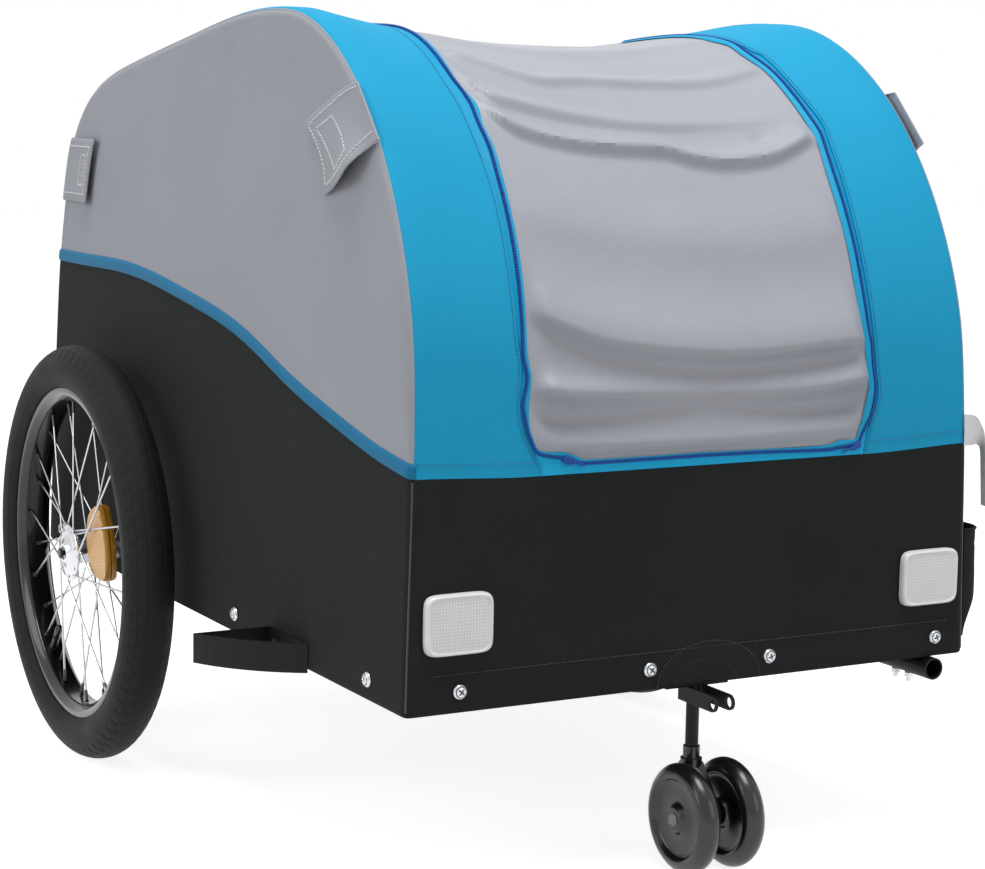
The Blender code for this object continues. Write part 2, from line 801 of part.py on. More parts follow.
# Screws through the cloth: rows of (place on the cloth, way out)
SCREW_SEAT = 2 * GAP
SCREW_OUTER = BODY_HALF - SCREW_OUTER_INSET


def front_screws():
    xs = (-SCREW_OUTER, -SCREW_FRONT_INNER, SCREW_FRONT_INNER, SCREW_OUTER)
    y = front_y(SCREW_Z)[0]
    return [(Vector((x + SCREW_SHIFT, y, SCREW_Z)), Vector((0, -1, 0))) for x in xs]


def rear_screws():
    xs = (-SCREW_OUTER, -SCREW_FRONT_INNER, SCREW_FRONT_INNER, SCREW_OUTER)
    y = rear_y(SCREW_Z)[0]
    return [(Vector((x, y, SCREW_Z)), Vector((0, 1, 0))) for x in xs]


def side_screws(sign):
    x = sign * half_width(SCREW_Z)
    return [(Vector((x, y, SCREW_Z)), Vector((sign, 0, 0))) for y in SCREW_SIDE_Y]


screw_rows = {
    "front": front_screws(),
    "rear": rear_screws(),
    "right": side_screws(-1),
    "left": side_screws(1),
}


def add_screws(bm, row):
    """Screws with their cupped washers, each screwed into a rail's wall."""
    top = SCREW_SEAT + WASHER_HEIGHT
    for at, out in row:
        profile = (
            (-SHANK_LENGTH, 0),
            (-SHANK_LENGTH, SHANK_R),
            (SCREW_SEAT, SHANK_R),
            (SCREW_SEAT, WASHER_R),
            (top, 0.8 * WASHER_R),
            (top - 0.4 * WASHER_HEIGHT, HEAD_R),
            (top + HEAD_HEIGHT, 0.62 * HEAD_R),
            (top + HEAD_HEIGHT, 0),
        )
        add_turned(bm, profile, SCREW_SIDES, at, out, False)


def add_collars(bm, sign):
    """Sockets for the feet of a hoop, standing on the rail."""
    for s in (FOOT_FRONT_S, FOOT_BACK_S):
        foot = hoop_point(sign, s)
        step = COLLAR_HEIGHT if s < CREST_S else -COLLAR_HEIGHT
        up = hoop_point(sign, s + step) - foot
        foot.z = RAIL_TOP
        ring = (
            (-RAIL_WALL / 2, HOOP_R + GAP),
            (-RAIL_WALL / 2, COLLAR_R),
            (COLLAR_HEIGHT, COLLAR_R),
            (COLLAR_HEIGHT, HOOP_R + GAP),
        )
        add_turned(bm, ring, 12, foot, up)


def make_rail(node, low, high, along, row, sign=0):
    """A rail with its screws and, on a side rail, its collars and the gusset above the tow socket."""
    bm = bmesh.new()
    add_tube(bm, low, high, along)
    rail = place(node, bm, own(black_steel, node), smooth_angle=35)
    bm = bmesh.new()
    add_screws(bm, row)
    weld(rail, bm, "_screws")
    if sign:
        bm = bmesh.new()
        add_collars(bm, sign)
        weld(rail, bm, "_collars")
    if sign > 0:
        bm = bmesh.new()
        add_box(
            bm,
            (TOW_X - GUSSET_HALF, RAIL_SET + RAIL_WIDTH + GAP, RAIL_LOW + GUSSET_LIFT),
            (RAIL_IN + RAIL_WALL / 2, TOW_BOLT_YS[-1] + GUSSET_HALF, RAIL_LOW + GUSSET_LIFT + GUSSET_THICK),
        )
        weld(rail, bm, "_gusset")
    return rail


TOW_BOLT_YS = [TOW_FRONT + back for back in TOW_BOLT_BACK]
rails = {}
for side, sign in (("right", -1), ("left", 1)):
    low_x, high_x = sorted((sign * RAIL_IN, sign * RAIL_OUT))
    ends = ((low_x, RAIL_SET, RAIL_LOW), (high_x, BED_BACK, RAIL_TOP))
    rails[side] = make_rail("side_rail_" + side, *ends, 1, screw_rows[side], sign)
for node, low_y in (("front", RAIL_SET), ("rear", BED_BACK - RAIL_WIDTH)):
    ends = ((GAP - RAIL_IN, low_y, RAIL_LOW), (RAIL_IN - GAP, low_y + RAIL_WIDTH, RAIL_TOP))
    make_rail(node + "_rail", *ends, 0, screw_rows[node])

# Beam between the rails, with a bush in each end for the axle
bm = bmesh.new()
BEAM_END = RAIL_IN - GAP
beam_low = (-BEAM_END, AXLE_Y - BEAM_WIDTH / 2, RAIL_LOW)
beam_high = (BEAM_END, AXLE_Y + BEAM_WIDTH / 2, RAIL_TOP)
add_tube(bm, beam_low, beam_high, 0)
beam = place("axle_beam", bm, own(black_steel, "axle_beam"), smooth_angle=35)
bm = bmesh.new()
for sign in (-1, 1):
    ring = (
        (BEAM_END - BUSH_LENGTH, AXLE_R + GAP),
        (BEAM_END - BUSH_LENGTH, BUSH_R),
        (BEAM_END - BUSH_INSET, BUSH_R),
        (BEAM_END - BUSH_INSET, AXLE_R + GAP),
    )
    add_turned(bm, ring, 12, (0, AXLE_Y, AXLE_Z), (sign, 0, 0))
weld(beam, bm)

bm = bmesh.new()
BOARD_Z = RAIL_TOP + GAP
BOARD_INSET = 2 * COLLAR_R + 2 * GAP
add_box(
    bm,
    (BOARD_INSET - RAIL_OUT, RAIL_SET + GAP, BOARD_Z),
    (RAIL_OUT - BOARD_INSET, BED_BACK - GAP, BOARD_Z + BOARD),
)
place("floor_board", bm, own(board_plastic, "floor_board"))

# Hoops and the bars that hold them apart
HOOP_STEPS = 34
for side, sign in (("right", -1), ("left", 1)):
    curve = bpy.data.curves.new("hoop_" + side, "CURVE")
    curve.dimensions = "3D"
    curve.bevel_depth = HOOP_R
    curve.bevel_resolution = 1
    curve.use_fill_caps = True
    spline = curve.splines.new("POLY")
    spline.points.add(HOOP_STEPS)
    for i in range(HOOP_STEPS + 1):
        s = FOOT_FRONT_S + (FOOT_BACK_S - FOOT_FRONT_S) * i / HOOP_STEPS
        spline.points[i].co = (*hoop_point(sign, s), 1)
    node = "hoop_" + side
    curve.materials.append(own(black_steel, node))
    hoop = bpy.data.objects.new(node, curve)
    hoop.parent = stance
    bpy.context.collection.objects.link(hoop)

belt_bar_s = solve_s(lambda t: hoop_point(1, t).z - BELT_Z + BELT_BAR_DROP, 0.0, CREST_S)
for node, s in (("belt_bar", belt_bar_s), ("rear_bar", REAR_BAR_S)):
    bm = bmesh.new()
    end = hoop_point(1, s) - Vector((HOOP_R + 2 * GAP, 0, 0))
    rod(bm, (-end.x, end.y, end.z), end, HOOP_R, 14)
    place(node, bm, own(black_steel, node), smooth_angle=40)


def screw_bores(row):
    return [(at + out * 0.01, at - out * 2 * CLOTH, SHANK_R + DRILL_PLAY) for at, out in row]


GUARD_BOLT_Z = GUARD_Z + GUARD_HEIGHT / 2
AXLE_BORE_R = AXLE_R + DRILL_PLAY
TOW_AXIS_Z = -GAP - TOW_R


tow_bores = [
    ((TOW_X, y, TOW_AXIS_Z - 2 * TOW_R), (TOW_X, y, RAIL_TOP / 2), TOW_BOLT_R + DRILL_PLAY)
    for y in TOW_BOLT_YS
]


def guard_bores(sign):
    x = sign * (half_width(0) + 0.01)
    end = sign * (RAIL_OUT - 0.010)
    return [((x, y, GUARD_BOLT_Z), (end, y, GUARD_BOLT_Z), BOLT_R + DRILL_PLAY) for y in GUARD_BOLT_Y]


def axle_bore(sign):
    inner_end = (sign * (RAIL_IN - 0.01), AXLE_Y, AXLE_Z)
    outer_end = (sign * (BODY_HALF + 0.01), AXLE_Y, AXLE_Z)
    return (inner_end, outer_end, AXLE_BORE_R)


for side, sign in (("right", -1), ("left", 1)):
    through = guard_bores(sign) + [axle_bore(sign)]
    drill(tub_sides[side], screw_bores(screw_rows[side]) + through)
    if sign > 0:
        through += tow_bores
    drill(rails[side], through)
drill(tub_front, screw_bores(screw_rows["front"]))
drill(tub_rear, screw_bores(screw_rows["rear"]))

# Wheel guards: a flat band that leaves the side squarely and comes back to it in an arc
GUARD_BACK_X = half_width(GUARD_Z) + 2 * GAP


def guard_arc(inset, count):
    """Plan of the curved front of the guard, from its outer corner to the side."""
    start = Vector((GUARD_OUT, GUARD_Y))
    end = Vector((GUARD_BACK_X, GUARD_FRONT_Y))
    chord = end - start
    across = Vector((-chord.y, chord.x)).normalized()
    if across.y > 0:
        across = -across
    centre = (start + end) / 2 - across * math.sqrt(GUARD_ARC_R**2 - (chord.length / 2) ** 2)
    first = math.atan2(start.y - centre.y, start.x - centre.x)
    last = math.atan2(end.y - centre.y, end.x - centre.x)
    points = []
    for i in range(count + 1):
        angle = first + (last - first) * i / count
        radius = GUARD_ARC_R - inset
        points.append((centre.x + radius * math.cos(angle), centre.y + radius * math.sin(angle)))
    return points


ARC_STEPS = 10
for side, sign in (("right", -1), ("left", 1)):
    outer = [(GUARD_BACK_X, GUARD_Y)] + guard_arc(0.0, ARC_STEPS)
    inner_back = GUARD_BACK_X + GUARD_THICK
    inside = [p for p in guard_arc(GUARD_THICK, ARC_STEPS)]
    inner = [(inner_back, GUARD_Y - GUARD_THICK)]
    inner += [(min(x, GUARD_OUT - GUARD_THICK), min(y, GUARD_Y - GUARD_THICK)) for x, y in inside]
    inner[-1] = (inner_back, GUARD_FRONT_Y + GUARD_THICK)
    bm = bmesh.new()
    rings = []
    for plan in (outer, inner):
        for z in (GUARD_Z, GUARD_Z + GUARD_HEIGHT):
            rings.append([bm.verts.new((sign * x, y, z)) for x, y in plan])
    outer_low, outer_high, inner_low, inner_high = rings
    for i in range(len(outer)):
        j = (i + 1) % len(outer)
        bm.faces.new((outer_low[i], outer_low[j], outer_high[j], outer_high[i]))
        bm.faces.new((inner_low[i], inner_low[j], inner_high[j], inner_high[i]))
        bm.faces.new((outer_low[i], outer_low[j], inner_low[j], inner_low[i]))
        bm.faces.new((outer_high[i], outer_high[j], inner_high[j], inner_high[i]))
    node = "wheel_guard_" + side
    guard = place(node, bm, own(black_steel, node), smooth_angle=30)
    bm = bmesh.new()
    face = GUARD_BACK_X + GUARD_THICK
    for y in GUARD_BOLT_Y:
        profile = (
            (-GUARD_THICK - BOLT_REACH, 0),
            (-GUARD_THICK - BOLT_REACH, BOLT_R),
            (-GUARD_THICK / 2, BOLT_R),
            (-GUARD_THICK / 2, BOLT_HEAD_R),
            (0.7 * BOLT_HEAD, BOLT_HEAD_R),
            (BOLT_HEAD, 0.75 * BOLT_HEAD_R),
            (BOLT_HEAD, 0),
        )
        add_turned(bm, profile, 12, (sign * face, y, GUARD_BOLT_Z), (sign, 0, 0), False)
    weld(guard, bm, "_bolts")

# Tow-arm socket: a tube under the floor, bolted through to the gusset above it
bm = bmesh.new()
ring = (
    (0, TOW_R - TOW_WALL),
    (0, TOW_R),
    (TOW_LENGTH, TOW_R),
    (TOW_LENGTH, TOW_R - TOW_WALL),
)
add_turned(bm, ring, 20, (TOW_X, TOW_FRONT, TOW_AXIS_Z), (0, 1, 0))
tow_socket = place("tow_socket", bm, own(black_steel, "tow_socket"), smooth_angle=40)
drill(tow_socket, tow_bores)
drill(floor_cloth, tow_bores)
TOW_GRIP = GUSSET_THICK + GUSSET_LIFT + RAIL_LOW - TOW_AXIS_Z + TOW_R + 2 * GAP
for node, y in zip(("tow_bolt_front", "tow_bolt_rear"), TOW_BOLT_YS):
    bm = bmesh.new()
    profile = (
        (-TOW_TAIL - TOW_NUT, 0),
        (-TOW_TAIL - TOW_NUT, TOW_BOLT_R),
        (-TOW_NUT, TOW_BOLT_R),
        (-TOW_NUT, TOW_NUT_R),
        (0, TOW_NUT_R),
        (0, TOW_BOLT_R),
        (TOW_GRIP, TOW_BOLT_R),
        (TOW_GRIP, TOW_NUT_R),
        (TOW_GRIP + TOW_NUT, TOW_NUT_R),
        (TOW_GRIP + TOW_NUT, 0),
    )
    add_turned(bm, profile, 6, (TOW_X, y, TOW_AXIS_Z - TOW_R - GAP), (0, 0, 1), False)
    place(node, bm, own(zinc_steel, node))

# Road wheels
STEPS = 36


def tyre_profile():
    """Round tyre section whose bead sits in the rim's channel."""
    centre = TYRE_R - TYRE_SECTION
    bead = RIM_HALF - RIM_WALL - GAP
    low, high = RIM_R - 0.005, RIM_R + 2 * GAP
    points = [(-bead, low), (-bead, high)]
    start = math.asin((RIM_HALF + 0.001) / TYRE_SECTION)
    count = 7
    for i in range(count + 1):
        angle = -math.pi / 2 - start - (2 * math.pi - 2 * start) * i / count
        points.append((TYRE_SECTION * math.cos(angle), centre + TYRE_SECTION * math.sin(angle)))
    points += [(bead, high), (bead, low)]
    return points


rim_profile = (
    (-RIM_HALF, RIM_R),
    (-RIM_HALF, RIM_R - 0.006),
    (-0.65 * RIM_HALF, RIM_INNER_R),
    (0.65 * RIM_HALF, RIM_INNER_R),
    (RIM_HALF, RIM_R - 0.006),
    (RIM_HALF, RIM_R),
    (RIM_HALF - RIM_WALL, RIM_R),
    (RIM_HALF - RIM_WALL, RIM_R - 0.0055),
    (-RIM_HALF + RIM_WALL, RIM_R - 0.0055),
    (-RIM_HALF + RIM_WALL, RIM_R),
)
hub_profile = (
    (-HUB_HALF, AXLE_R + GAP),
    (-HUB_HALF, HUB_END_R),
    (-FLANGE_X - FLANGE_THICK / 2, HUB_BODY_R),
    (-FLANGE_X - FLANGE_THICK / 2, FLANGE_R),
    (-FLANGE_X + FLANGE_THICK / 2, FLANGE_R),
    (-FLANGE_X + FLANGE_THICK / 2, HUB_BODY_R),
    (FLANGE_X - FLANGE_THICK / 2, HUB_BODY_R),
    (FLANGE_X - FLANGE_THICK / 2, FLANGE_R),
    (FLANGE_X + FLANGE_THICK / 2, FLANGE_R),
    (FLANGE_X + FLANGE_THICK / 2, HUB_BODY_R),
    (HUB_HALF, HUB_END_R),
    (HUB_HALF, AXLE_R + GAP),
)


def spoke_ends(index):
    """Hub end and rim end of a spoke about a wheel whose axle is x."""
    rim_angle = 2 * math.pi * (index + 0.5) / SPOKES
    flange = 1 if index % 2 else -1
    leading = 1 if (index // 2) % 2 else -1
    hub_angle = rim_angle + leading * SPOKE_CROSS
    hub_x = flange * (FLANGE_X + leading * SPOKE_OFF)
    rim_r = RIM_INNER_R - SPOKE_SEAT
    hub_end = Vector((hub_x, SPOKE_PITCH_R * math.cos(hub_angle), SPOKE_PITCH_R * math.sin(hub_angle)))
    rim_end = Vector((flange * SPOKE_RIM_X, rim_r * math.cos(rim_angle), rim_r * math.sin(rim_angle)))
    return hub_end, rim_end


def spoke_inside(radius):
    """How far out the inner face of the inner spokes lies at a radius."""
    hub_x = FLANGE_X - SPOKE_OFF
    rim_r = RIM_INNER_R - SPOKE_SEAT

    def reach(t):
        y = (1 - t) * SPOKE_PITCH_R * math.cos(SPOKE_CROSS) + t * rim_r
        z = (1 - t) * SPOKE_PITCH_R * math.sin(SPOKE_CROSS)
        return math.hypot(y, z) - radius

    t = solve_s(reach, 0.0, 1.0)
    return hub_x + (SPOKE_RIM_X - hub_x) * t - SPOKE_R


def lens_point(u, v, depth):
    """A wedge-shaped lens that fills the space between the two rows of spokes."""
    x_end, y_end = LENS_R + LENS_DEPTH * (v - 0.5), LENS_SPAN * (u - 0.5) * (0.72 + 0.28 * v)
    bow = 0.004 * (1 - (2 * u - 1) ** 2) * (2 * v - 1)
    x_end += bow
    half = spoke_inside(math.hypot(x_end, y_end)) - 2 * GAP
    turn_c, turn_s = math.cos(LENS_ANGLE), math.sin(LENS_ANGLE)
    return Vector((half * (1 - 2 * depth), x_end * turn_c - y_end * turn_s, x_end * turn_s + y_end * turn_c))


for side, sign in (("right", -1), ("left", 1)):
    axle_line = (sign, 0, 0)
    wheel = pivot("wheel_axis_" + side, (sign * TRACK_HALF, AXLE_Y, AXLE_Z))
    bm = bmesh.new()
    add_turned(bm, tyre_profile(), STEPS, (0, 0, 0), (1, 0, 0))
    place("tyre_" + side, bm, own(tyre_rubber, "tyre_" + side), wheel, 60)
    bm = bmesh.new()
    add_turned(bm, rim_profile, STEPS, (0, 0, 0), (1, 0, 0))
    rim = place("rim_" + side, bm, own(black_steel, "rim_" + side), wheel, 35)
    inward = Vector((0, -math.cos(VALVE_ANGLE), -math.sin(VALVE_ANGLE)))
    foot = inward * -(RIM_INNER_R + RIM_WALL / 2)
    bm = bmesh.new()
    rod(bm, foot, foot + inward * VALVE_LENGTH, VALVE_R, 8)
    weld(rim, bm, "_valve")
    bm = bmesh.new()
    add_turned(bm, hub_profile, 18, (0, 0, 0), (1, 0, 0))
    hub = place("hub_" + side, bm, own(hub_alloy, "hub_" + side), wheel, 35)
    bm = bmesh.new()
    for index in range(SPOKES):
        hub_end, rim_end = spoke_ends(index)
        rod(bm, hub_end, rim_end, SPOKE_R, 4)
    weld(hub, bm, "_spokes")
    bm = bmesh.new()
    add_sheet(bm, lens_point, 6, 3, 1.0)
    place("spoke_reflector_" + side, bm, own(amber_lens, "spoke_reflector_" + side), wheel, 40)

    # Axle: a pin through the side rail into the beam, with a shoulder outside the cloth
    pin_end = BEAM_END - BUSH_LENGTH
    shoulder = half_width(AXLE_Z - HUB_END_R) + 2 * GAP
    hub_in = TRACK_HALF - HUB_HALF
    tip = TRACK_HALF + HUB_HALF - 0.002
    bore_r = BUTTON_STEM_R + GAP
    bm = bmesh.new()
    profile = (
        (pin_end, 0),
        (pin_end, AXLE_R),
        (shoulder, AXLE_R),
        (shoulder, HUB_END_R),
        (hub_in - GAP, HUB_END_R),
        (hub_in - GAP, AXLE_R),
        (tip, AXLE_R),
        (tip, bore_r),
        (tip - BUTTON_STEM - BUTTON_TRAVEL, bore_r),
        (tip - BUTTON_STEM - BUTTON_TRAVEL, 0),
    )
    add_turned(bm, profile, 14, (0, AXLE_Y, AXLE_Z), axle_line, False)
    place("axle_" + side, bm, own(zinc_steel, "axle_" + side), smooth_angle=40)

    button = pivot("button_axis_" + side, (sign * tip, AXLE_Y, AXLE_Z))
    head = GAP + BUTTON_TRAVEL
    bm = bmesh.new()
    profile = (
        (GAP - BUTTON_STEM, 0),
        (GAP - BUTTON_STEM, BUTTON_STEM_R),
        (head, BUTTON_STEM_R),
        (head, BUTTON_R),
        (head + 0.7 * BUTTON_HEAD, BUTTON_R),
        (head + BUTTON_HEAD, 0.7 * BUTTON_R),
        (head + BUTTON_HEAD, 0),
    )
    add_turned(bm, profile, 12, (0, 0, 0), axle_line, False)
    place("release_button_" + side, bm, own(caster_plastic, "release_button_" + side), button, 40)

# Caster bracket: a plate under the front rail with two ears in front and a fixed stem
PLATE_Z = -GAP - PLATE_THICK
PLATE_FRONT = STEM_Y - STEM_R - GAP
EAR_Z = PLATE_Z - EAR_HEIGHT / 2
bm = bmesh.new()
add_box(bm, (-PLATE_HALF, PLATE_FRONT, PLATE_Z), (PLATE_HALF, PLATE_FRONT + PLATE_DEPTH, -GAP))
bracket = place("caster_bracket", bm, own(black_steel, "caster_bracket"), smooth_angle=35)
bm = bmesh.new()
rod(bm, (0, STEM_Y, PLATE_Z + PLATE_THICK / 2), (0, STEM_Y, STEM_END), STEM_R, 16)
weld(bracket, bm, "_stem")
bm = bmesh.new()
for sign in (-1, 1):
    top = PLATE_Z + PLATE_THICK / 2
    plan = [(PLATE_FRONT + EAR_ROOT, top), (PLATE_FRONT + EAR_ROOT, PLATE_Z - EAR_HEIGHT)]
    for i in range(9):
        angle = -math.pi / 2 - math.pi * i / 8
        reach_y = EAR_HEIGHT / 2 * math.cos(angle)
        reach_z = EAR_HEIGHT / 2 * math.sin(angle)
        plan.append((EAR_HOLE_Y + reach_y, EAR_Z + reach_z))
    plan.append((PLATE_FRONT - 0.001, PLATE_Z))
    plan.append((PLATE_FRONT + 0.001, top))
    near = [(sign * EAR_X, y, z) for y, z in plan]
    add_slab(bm, near, [(x + sign * EAR_THICK, y, z) for x, y, z in near])
weld(bracket, bm, "_ears")
drill(bracket, [((-0.02, EAR_HOLE_Y, EAR_Z), (0.02, EAR_HOLE_Y, EAR_Z), EAR_HOLE_R)], 16)

# Swivelling part: collars, a flat body between the wheels and the axle
swivel = pivot("caster_swivel_axis", (0, STEM_Y, STEM_END))
bm = bmesh.new()
top_low = -GAP - COLLAR_TOP
low_end = top_low - COLLAR_LOW
profile = (
    (-GAP, 0),
    (-GAP, COLLAR_TOP_R),
    (top_low, COLLAR_TOP_R),
    (top_low, COLLAR_LOW_R),
    (low_end, COLLAR_LOW_R),
    (low_end, 0),
)
add_turned(bm, profile, 18, (0, 0, 0), (0, 0, 1), False)
axle_y = -CASTER_TRAIL
axle_z = CASTER_AXLE_Z - STEM_END
plan = [(FORK_NECK, low_end + COLLAR_LOW / 2), (-FORK_NECK, low_end + COLLAR_LOW / 2)]
for i in range(9):
    angle = math.radians(140) + math.radians(210) * i / 8
    plan.append((axle_y + FORK_BOSS_R * math.cos(angle), axle_z + FORK_BOSS_R * math.sin(angle)))
plan.append((FORK_NECK + 0.002, axle_z + 0.018))
fork = place("caster_fork", bm, own(caster_plastic, "caster_fork"), swivel, 40)
bm = bmesh.new()
add_slab(bm, [(-FORK_HALF, y, z) for y, z in plan], [(FORK_HALF, y, z) for y, z in plan])
weld(fork, bm, "_leg")
axle_span = CASTER_X + CASTER_WIDTH / 2
cutter_bores = [((-0.03, axle_y, axle_z), (0.03, axle_y, axle_z), CASTER_AXLE_R + GAP)]
drill(fork, cutter_bores)

bm = bmesh.new()
cap_x = axle_span + GAP
profile = (
    (-cap_x - 0.0015, 0),
    (-cap_x - 0.0015, 0.8 * CASTER_CAP_R),
    (-cap_x, CASTER_CAP_R),
    (-cap_x, CASTER_AXLE_R),
    (cap_x, CASTER_AXLE_R),
    (cap_x, CASTER_CAP_R),
    (cap_x + 0.0015, 0.8 * CASTER_CAP_R),
    (cap_x + 0.0015, 0),
)
add_turned(bm, profile, 12, (0, axle_y, axle_z), (1, 0, 0), False)
place("caster_axle", bm, own(cap_plastic, "caster_axle"), swivel, 40)


def caster_profile():
    """Rounded tread, a dished face outside and a hub boss."""
    half = CASTER_WIDTH / 2
    bore = CASTER_AXLE_R + GAP
    dish = [(half - 0.005, 0.028), (half - 0.004, 0.012)]
    face = [(half, CASTER_R - half)] + dish + [(half, 0.010), (half, bore)]
    points = [(-x, r) for x, r in reversed(face[1:])]
    for i in range(7):
        angle = math.pi - math.pi * i / 6
        points.append((half * math.cos(angle), CASTER_R - half + half * math.sin(angle)))
    points += face[1:]
    return points


for side, sign in (("right", -1), ("left", 1)):
    hub = pivot("caster_wheel_axis_" + side, (sign * CASTER_X, axle_y, axle_z), swivel)
    bm = bmesh.new()
    add_turned(bm, caster_profile(), 20, (0, 0, 0), (1, 0, 0))
    node = "caster_wheel_" + side
    place(node, bm, own(caster_plastic, node), hub, 45)


# Hook-and-loop tabs: each turns about its sewn edge, at the level where that edge stands out furthest
TAB_SEAT = 2 * GAP


def front_tab_point(sign, u, v, depth):
    (ay, az), (by, bz) = TAB_ROOT
    (cy, cz), (dy, dz) = TAB_FREE
    y = (1 - u) * ((1 - v) * ay + v * by) + u * ((1 - v) * cy + v * dy)
    z = (1 - u) * ((1 - v) * az + v * bz) + u * ((1 - v) * cz + v * dz)
    lift = TAB_SEAT + TAB_LIFT * math.sin(math.pi * u) ** 2 * v**1.5
    return Vector((sign * (half_width(z) + lift + TAB_THICK - depth), y, z))


def rear_tab_point(sign, u, v, depth):
    """From the sewn edge on the rear, round the corner at u = 0.5 and along the side."""
    z = REAR_TAB_Z[0] + (REAR_TAB_Z[1] - REAR_TAB_Z[0]) * v
    off = TAB_SEAT + TAB_THICK - depth
    back = rear_y(z)[0] + off
    corner = half_width(z) + off
    if u <= 0.5:
        root = half_width(z) - REAR_TAB_WRAP
        return Vector((sign * (root + (corner - root) * 2 * u), back, z))
    return Vector((sign * corner, back + (REAR_TAB_Y - back) * (2 * u - 1), z))


for side, sign in (("right", -1), ("left", 1)):
    for node, point, columns in (("front_tab_", front_tab_point, 6), ("rear_tab_", rear_tab_point, 4)):
        root = point(sign, 0.0, 0.5, 0.0)
        hinge = pivot(node + "axis_" + side, root)
        bm = bmesh.new()
        add_sheet(bm, lambda u, v, depth: point(sign, u, v, depth) - root, columns, 4, TAB_THICK)
        place(node + side, bm, own(grey_cloth, node + side), hinge, 40)


# Reflectors, pocket and label
def pillow(bm, centre, across, up, out, width, height, depth, proud):
    """A cushion-shaped lens with rounded sides, standing on a flat back."""
    steps = 6
    rings = []
    for scale, rise in ((1.0, 0.0), (1.0, 0.45), (0.93, 0.85), (0.86, 1.0)):
        ring = []
        for i in range(4 * steps):
            angle = 2 * math.pi * (i + 0.5) / (4 * steps)
            cx, cy = math.cos(angle), math.sin(angle)
            power = 0.32
            px = math.copysign(abs(cx) ** power, cx) * width / 2 * scale
            py = math.copysign(abs(cy) ** power, cy) * height / 2 * scale
            ring.append(centre + across * px + up * py + out * (proud + depth * rise))
        rings.append([bm.verts.new(p) for p in ring])
    for a, b in zip(rings[:-1], rings[1:]):
        for i in range(len(a)):
            j = (i + 1) % len(a)
            bm.faces.new((a[i], a[j], b[j], b[i]))
    bm.faces.new(rings[0])
    bm.faces.new(list(reversed(rings[-1])))


across, up = Vector((1, 0, 0)), Vector((0, 0, 1))
lens_size = (LENS_FRONT_W, LENS_FRONT_H, LENS_FRONT_D)
for side, sign in (("right", -1), ("left", 1)):
    node = "front_reflector_" + side
    bm = bmesh.new()
    centre = Vector((sign * LENS_FRONT_X, front_y(LENS_FRONT_Z)[0], LENS_FRONT_Z))
    pillow(bm, centre, across, up, Vector((0, -1, 0)), *lens_size, 3 * GAP)
    place(node, bm, own(white_lens, node), smooth_angle=40)


def pocket_point(u, v, depth):
    """A bellied pocket on the left side, open at its top."""
    angle = math.pi * u
    half = (POCKET_Y[1] - POCKET_Y[0]) / 2 - depth
    rise = smooth(0.15 + v / 0.45) if v < 0.4 else 1.0
    bulge = CLOTH + (POCKET_BULGE - CLOTH) * rise - depth
    y = (POCKET_Y[0] + POCKET_Y[1]) / 2 - half * math.cos(angle)
    z = POCKET_Z[0] + (POCKET_Z[1] - POCKET_Z[0]) * v
    return Vector((half_width(z) + 2 * GAP + bulge * math.sin(angle), y, z))


bm = bmesh.new()
add_sheet(bm, pocket_point, 10, 6, CLOTH)
place("side_pocket", bm, own(black_cloth, "side_pocket"), smooth_angle=50)


def edge_at(edge, t):
    """A point on a label edge, smooth between its given points."""
    span = (len(edge) - 1) * min(max(t, 0.0), 1.0)
    i = min(int(span), len(edge) - 2)
    f = span - i
    before = edge[max(i - 1, 0)]
    after = edge[min(i + 2, len(edge) - 1)]
    point = []
    for a, b, c, d in zip(before, edge[i], edge[i + 1], after):
        point.append(b + 0.5 * f * (c - a + f * (2 * a - 5 * b + 4 * c - d + f * (3 * (b - c) + d - a))))
    return Vector(point)


def label_middle(u, v):
    flat = edge_at(LABEL_EDGE_A, v).lerp(edge_at(LABEL_EDGE_B, v), u)
    return Vector((half_width(flat.z) + 2 * GAP + LABEL_THICK + flat.x, flat.y, flat.z))


def label_point(u, v, depth):
    """A label sewn into the side near the front corner, which bends out and hangs."""
    e = 0.01
    across = label_middle(min(u + e, 1), v) - label_middle(max(u - e, 0), v)
    along = label_middle(u, min(v + e, 1)) - label_middle(u, max(v - e, 0))
    normal = across.cross(along).normalized()
    return label_middle(u, v) + normal * (LABEL_THICK / 2 - depth)


bm = bmesh.new()
add_sheet(bm, label_point, 2, 12, LABEL_THICK)
place("side_label", bm, own(white_cloth, "side_label"), smooth_angle=60)
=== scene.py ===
"""Bicycle cargo trailer: cloth body on a steel bed, spoked wheels and a swivelling front caster.

Lengths are in metres. The bed's own frame has x across, y from the front edge to the rear and z up from
the underside of the cloth, and it leans nose-down as the trailer stands on its caster.
"""

import math

import bmesh
import bpy
import numpy as np
from mathutils import Matrix, Vector, noise


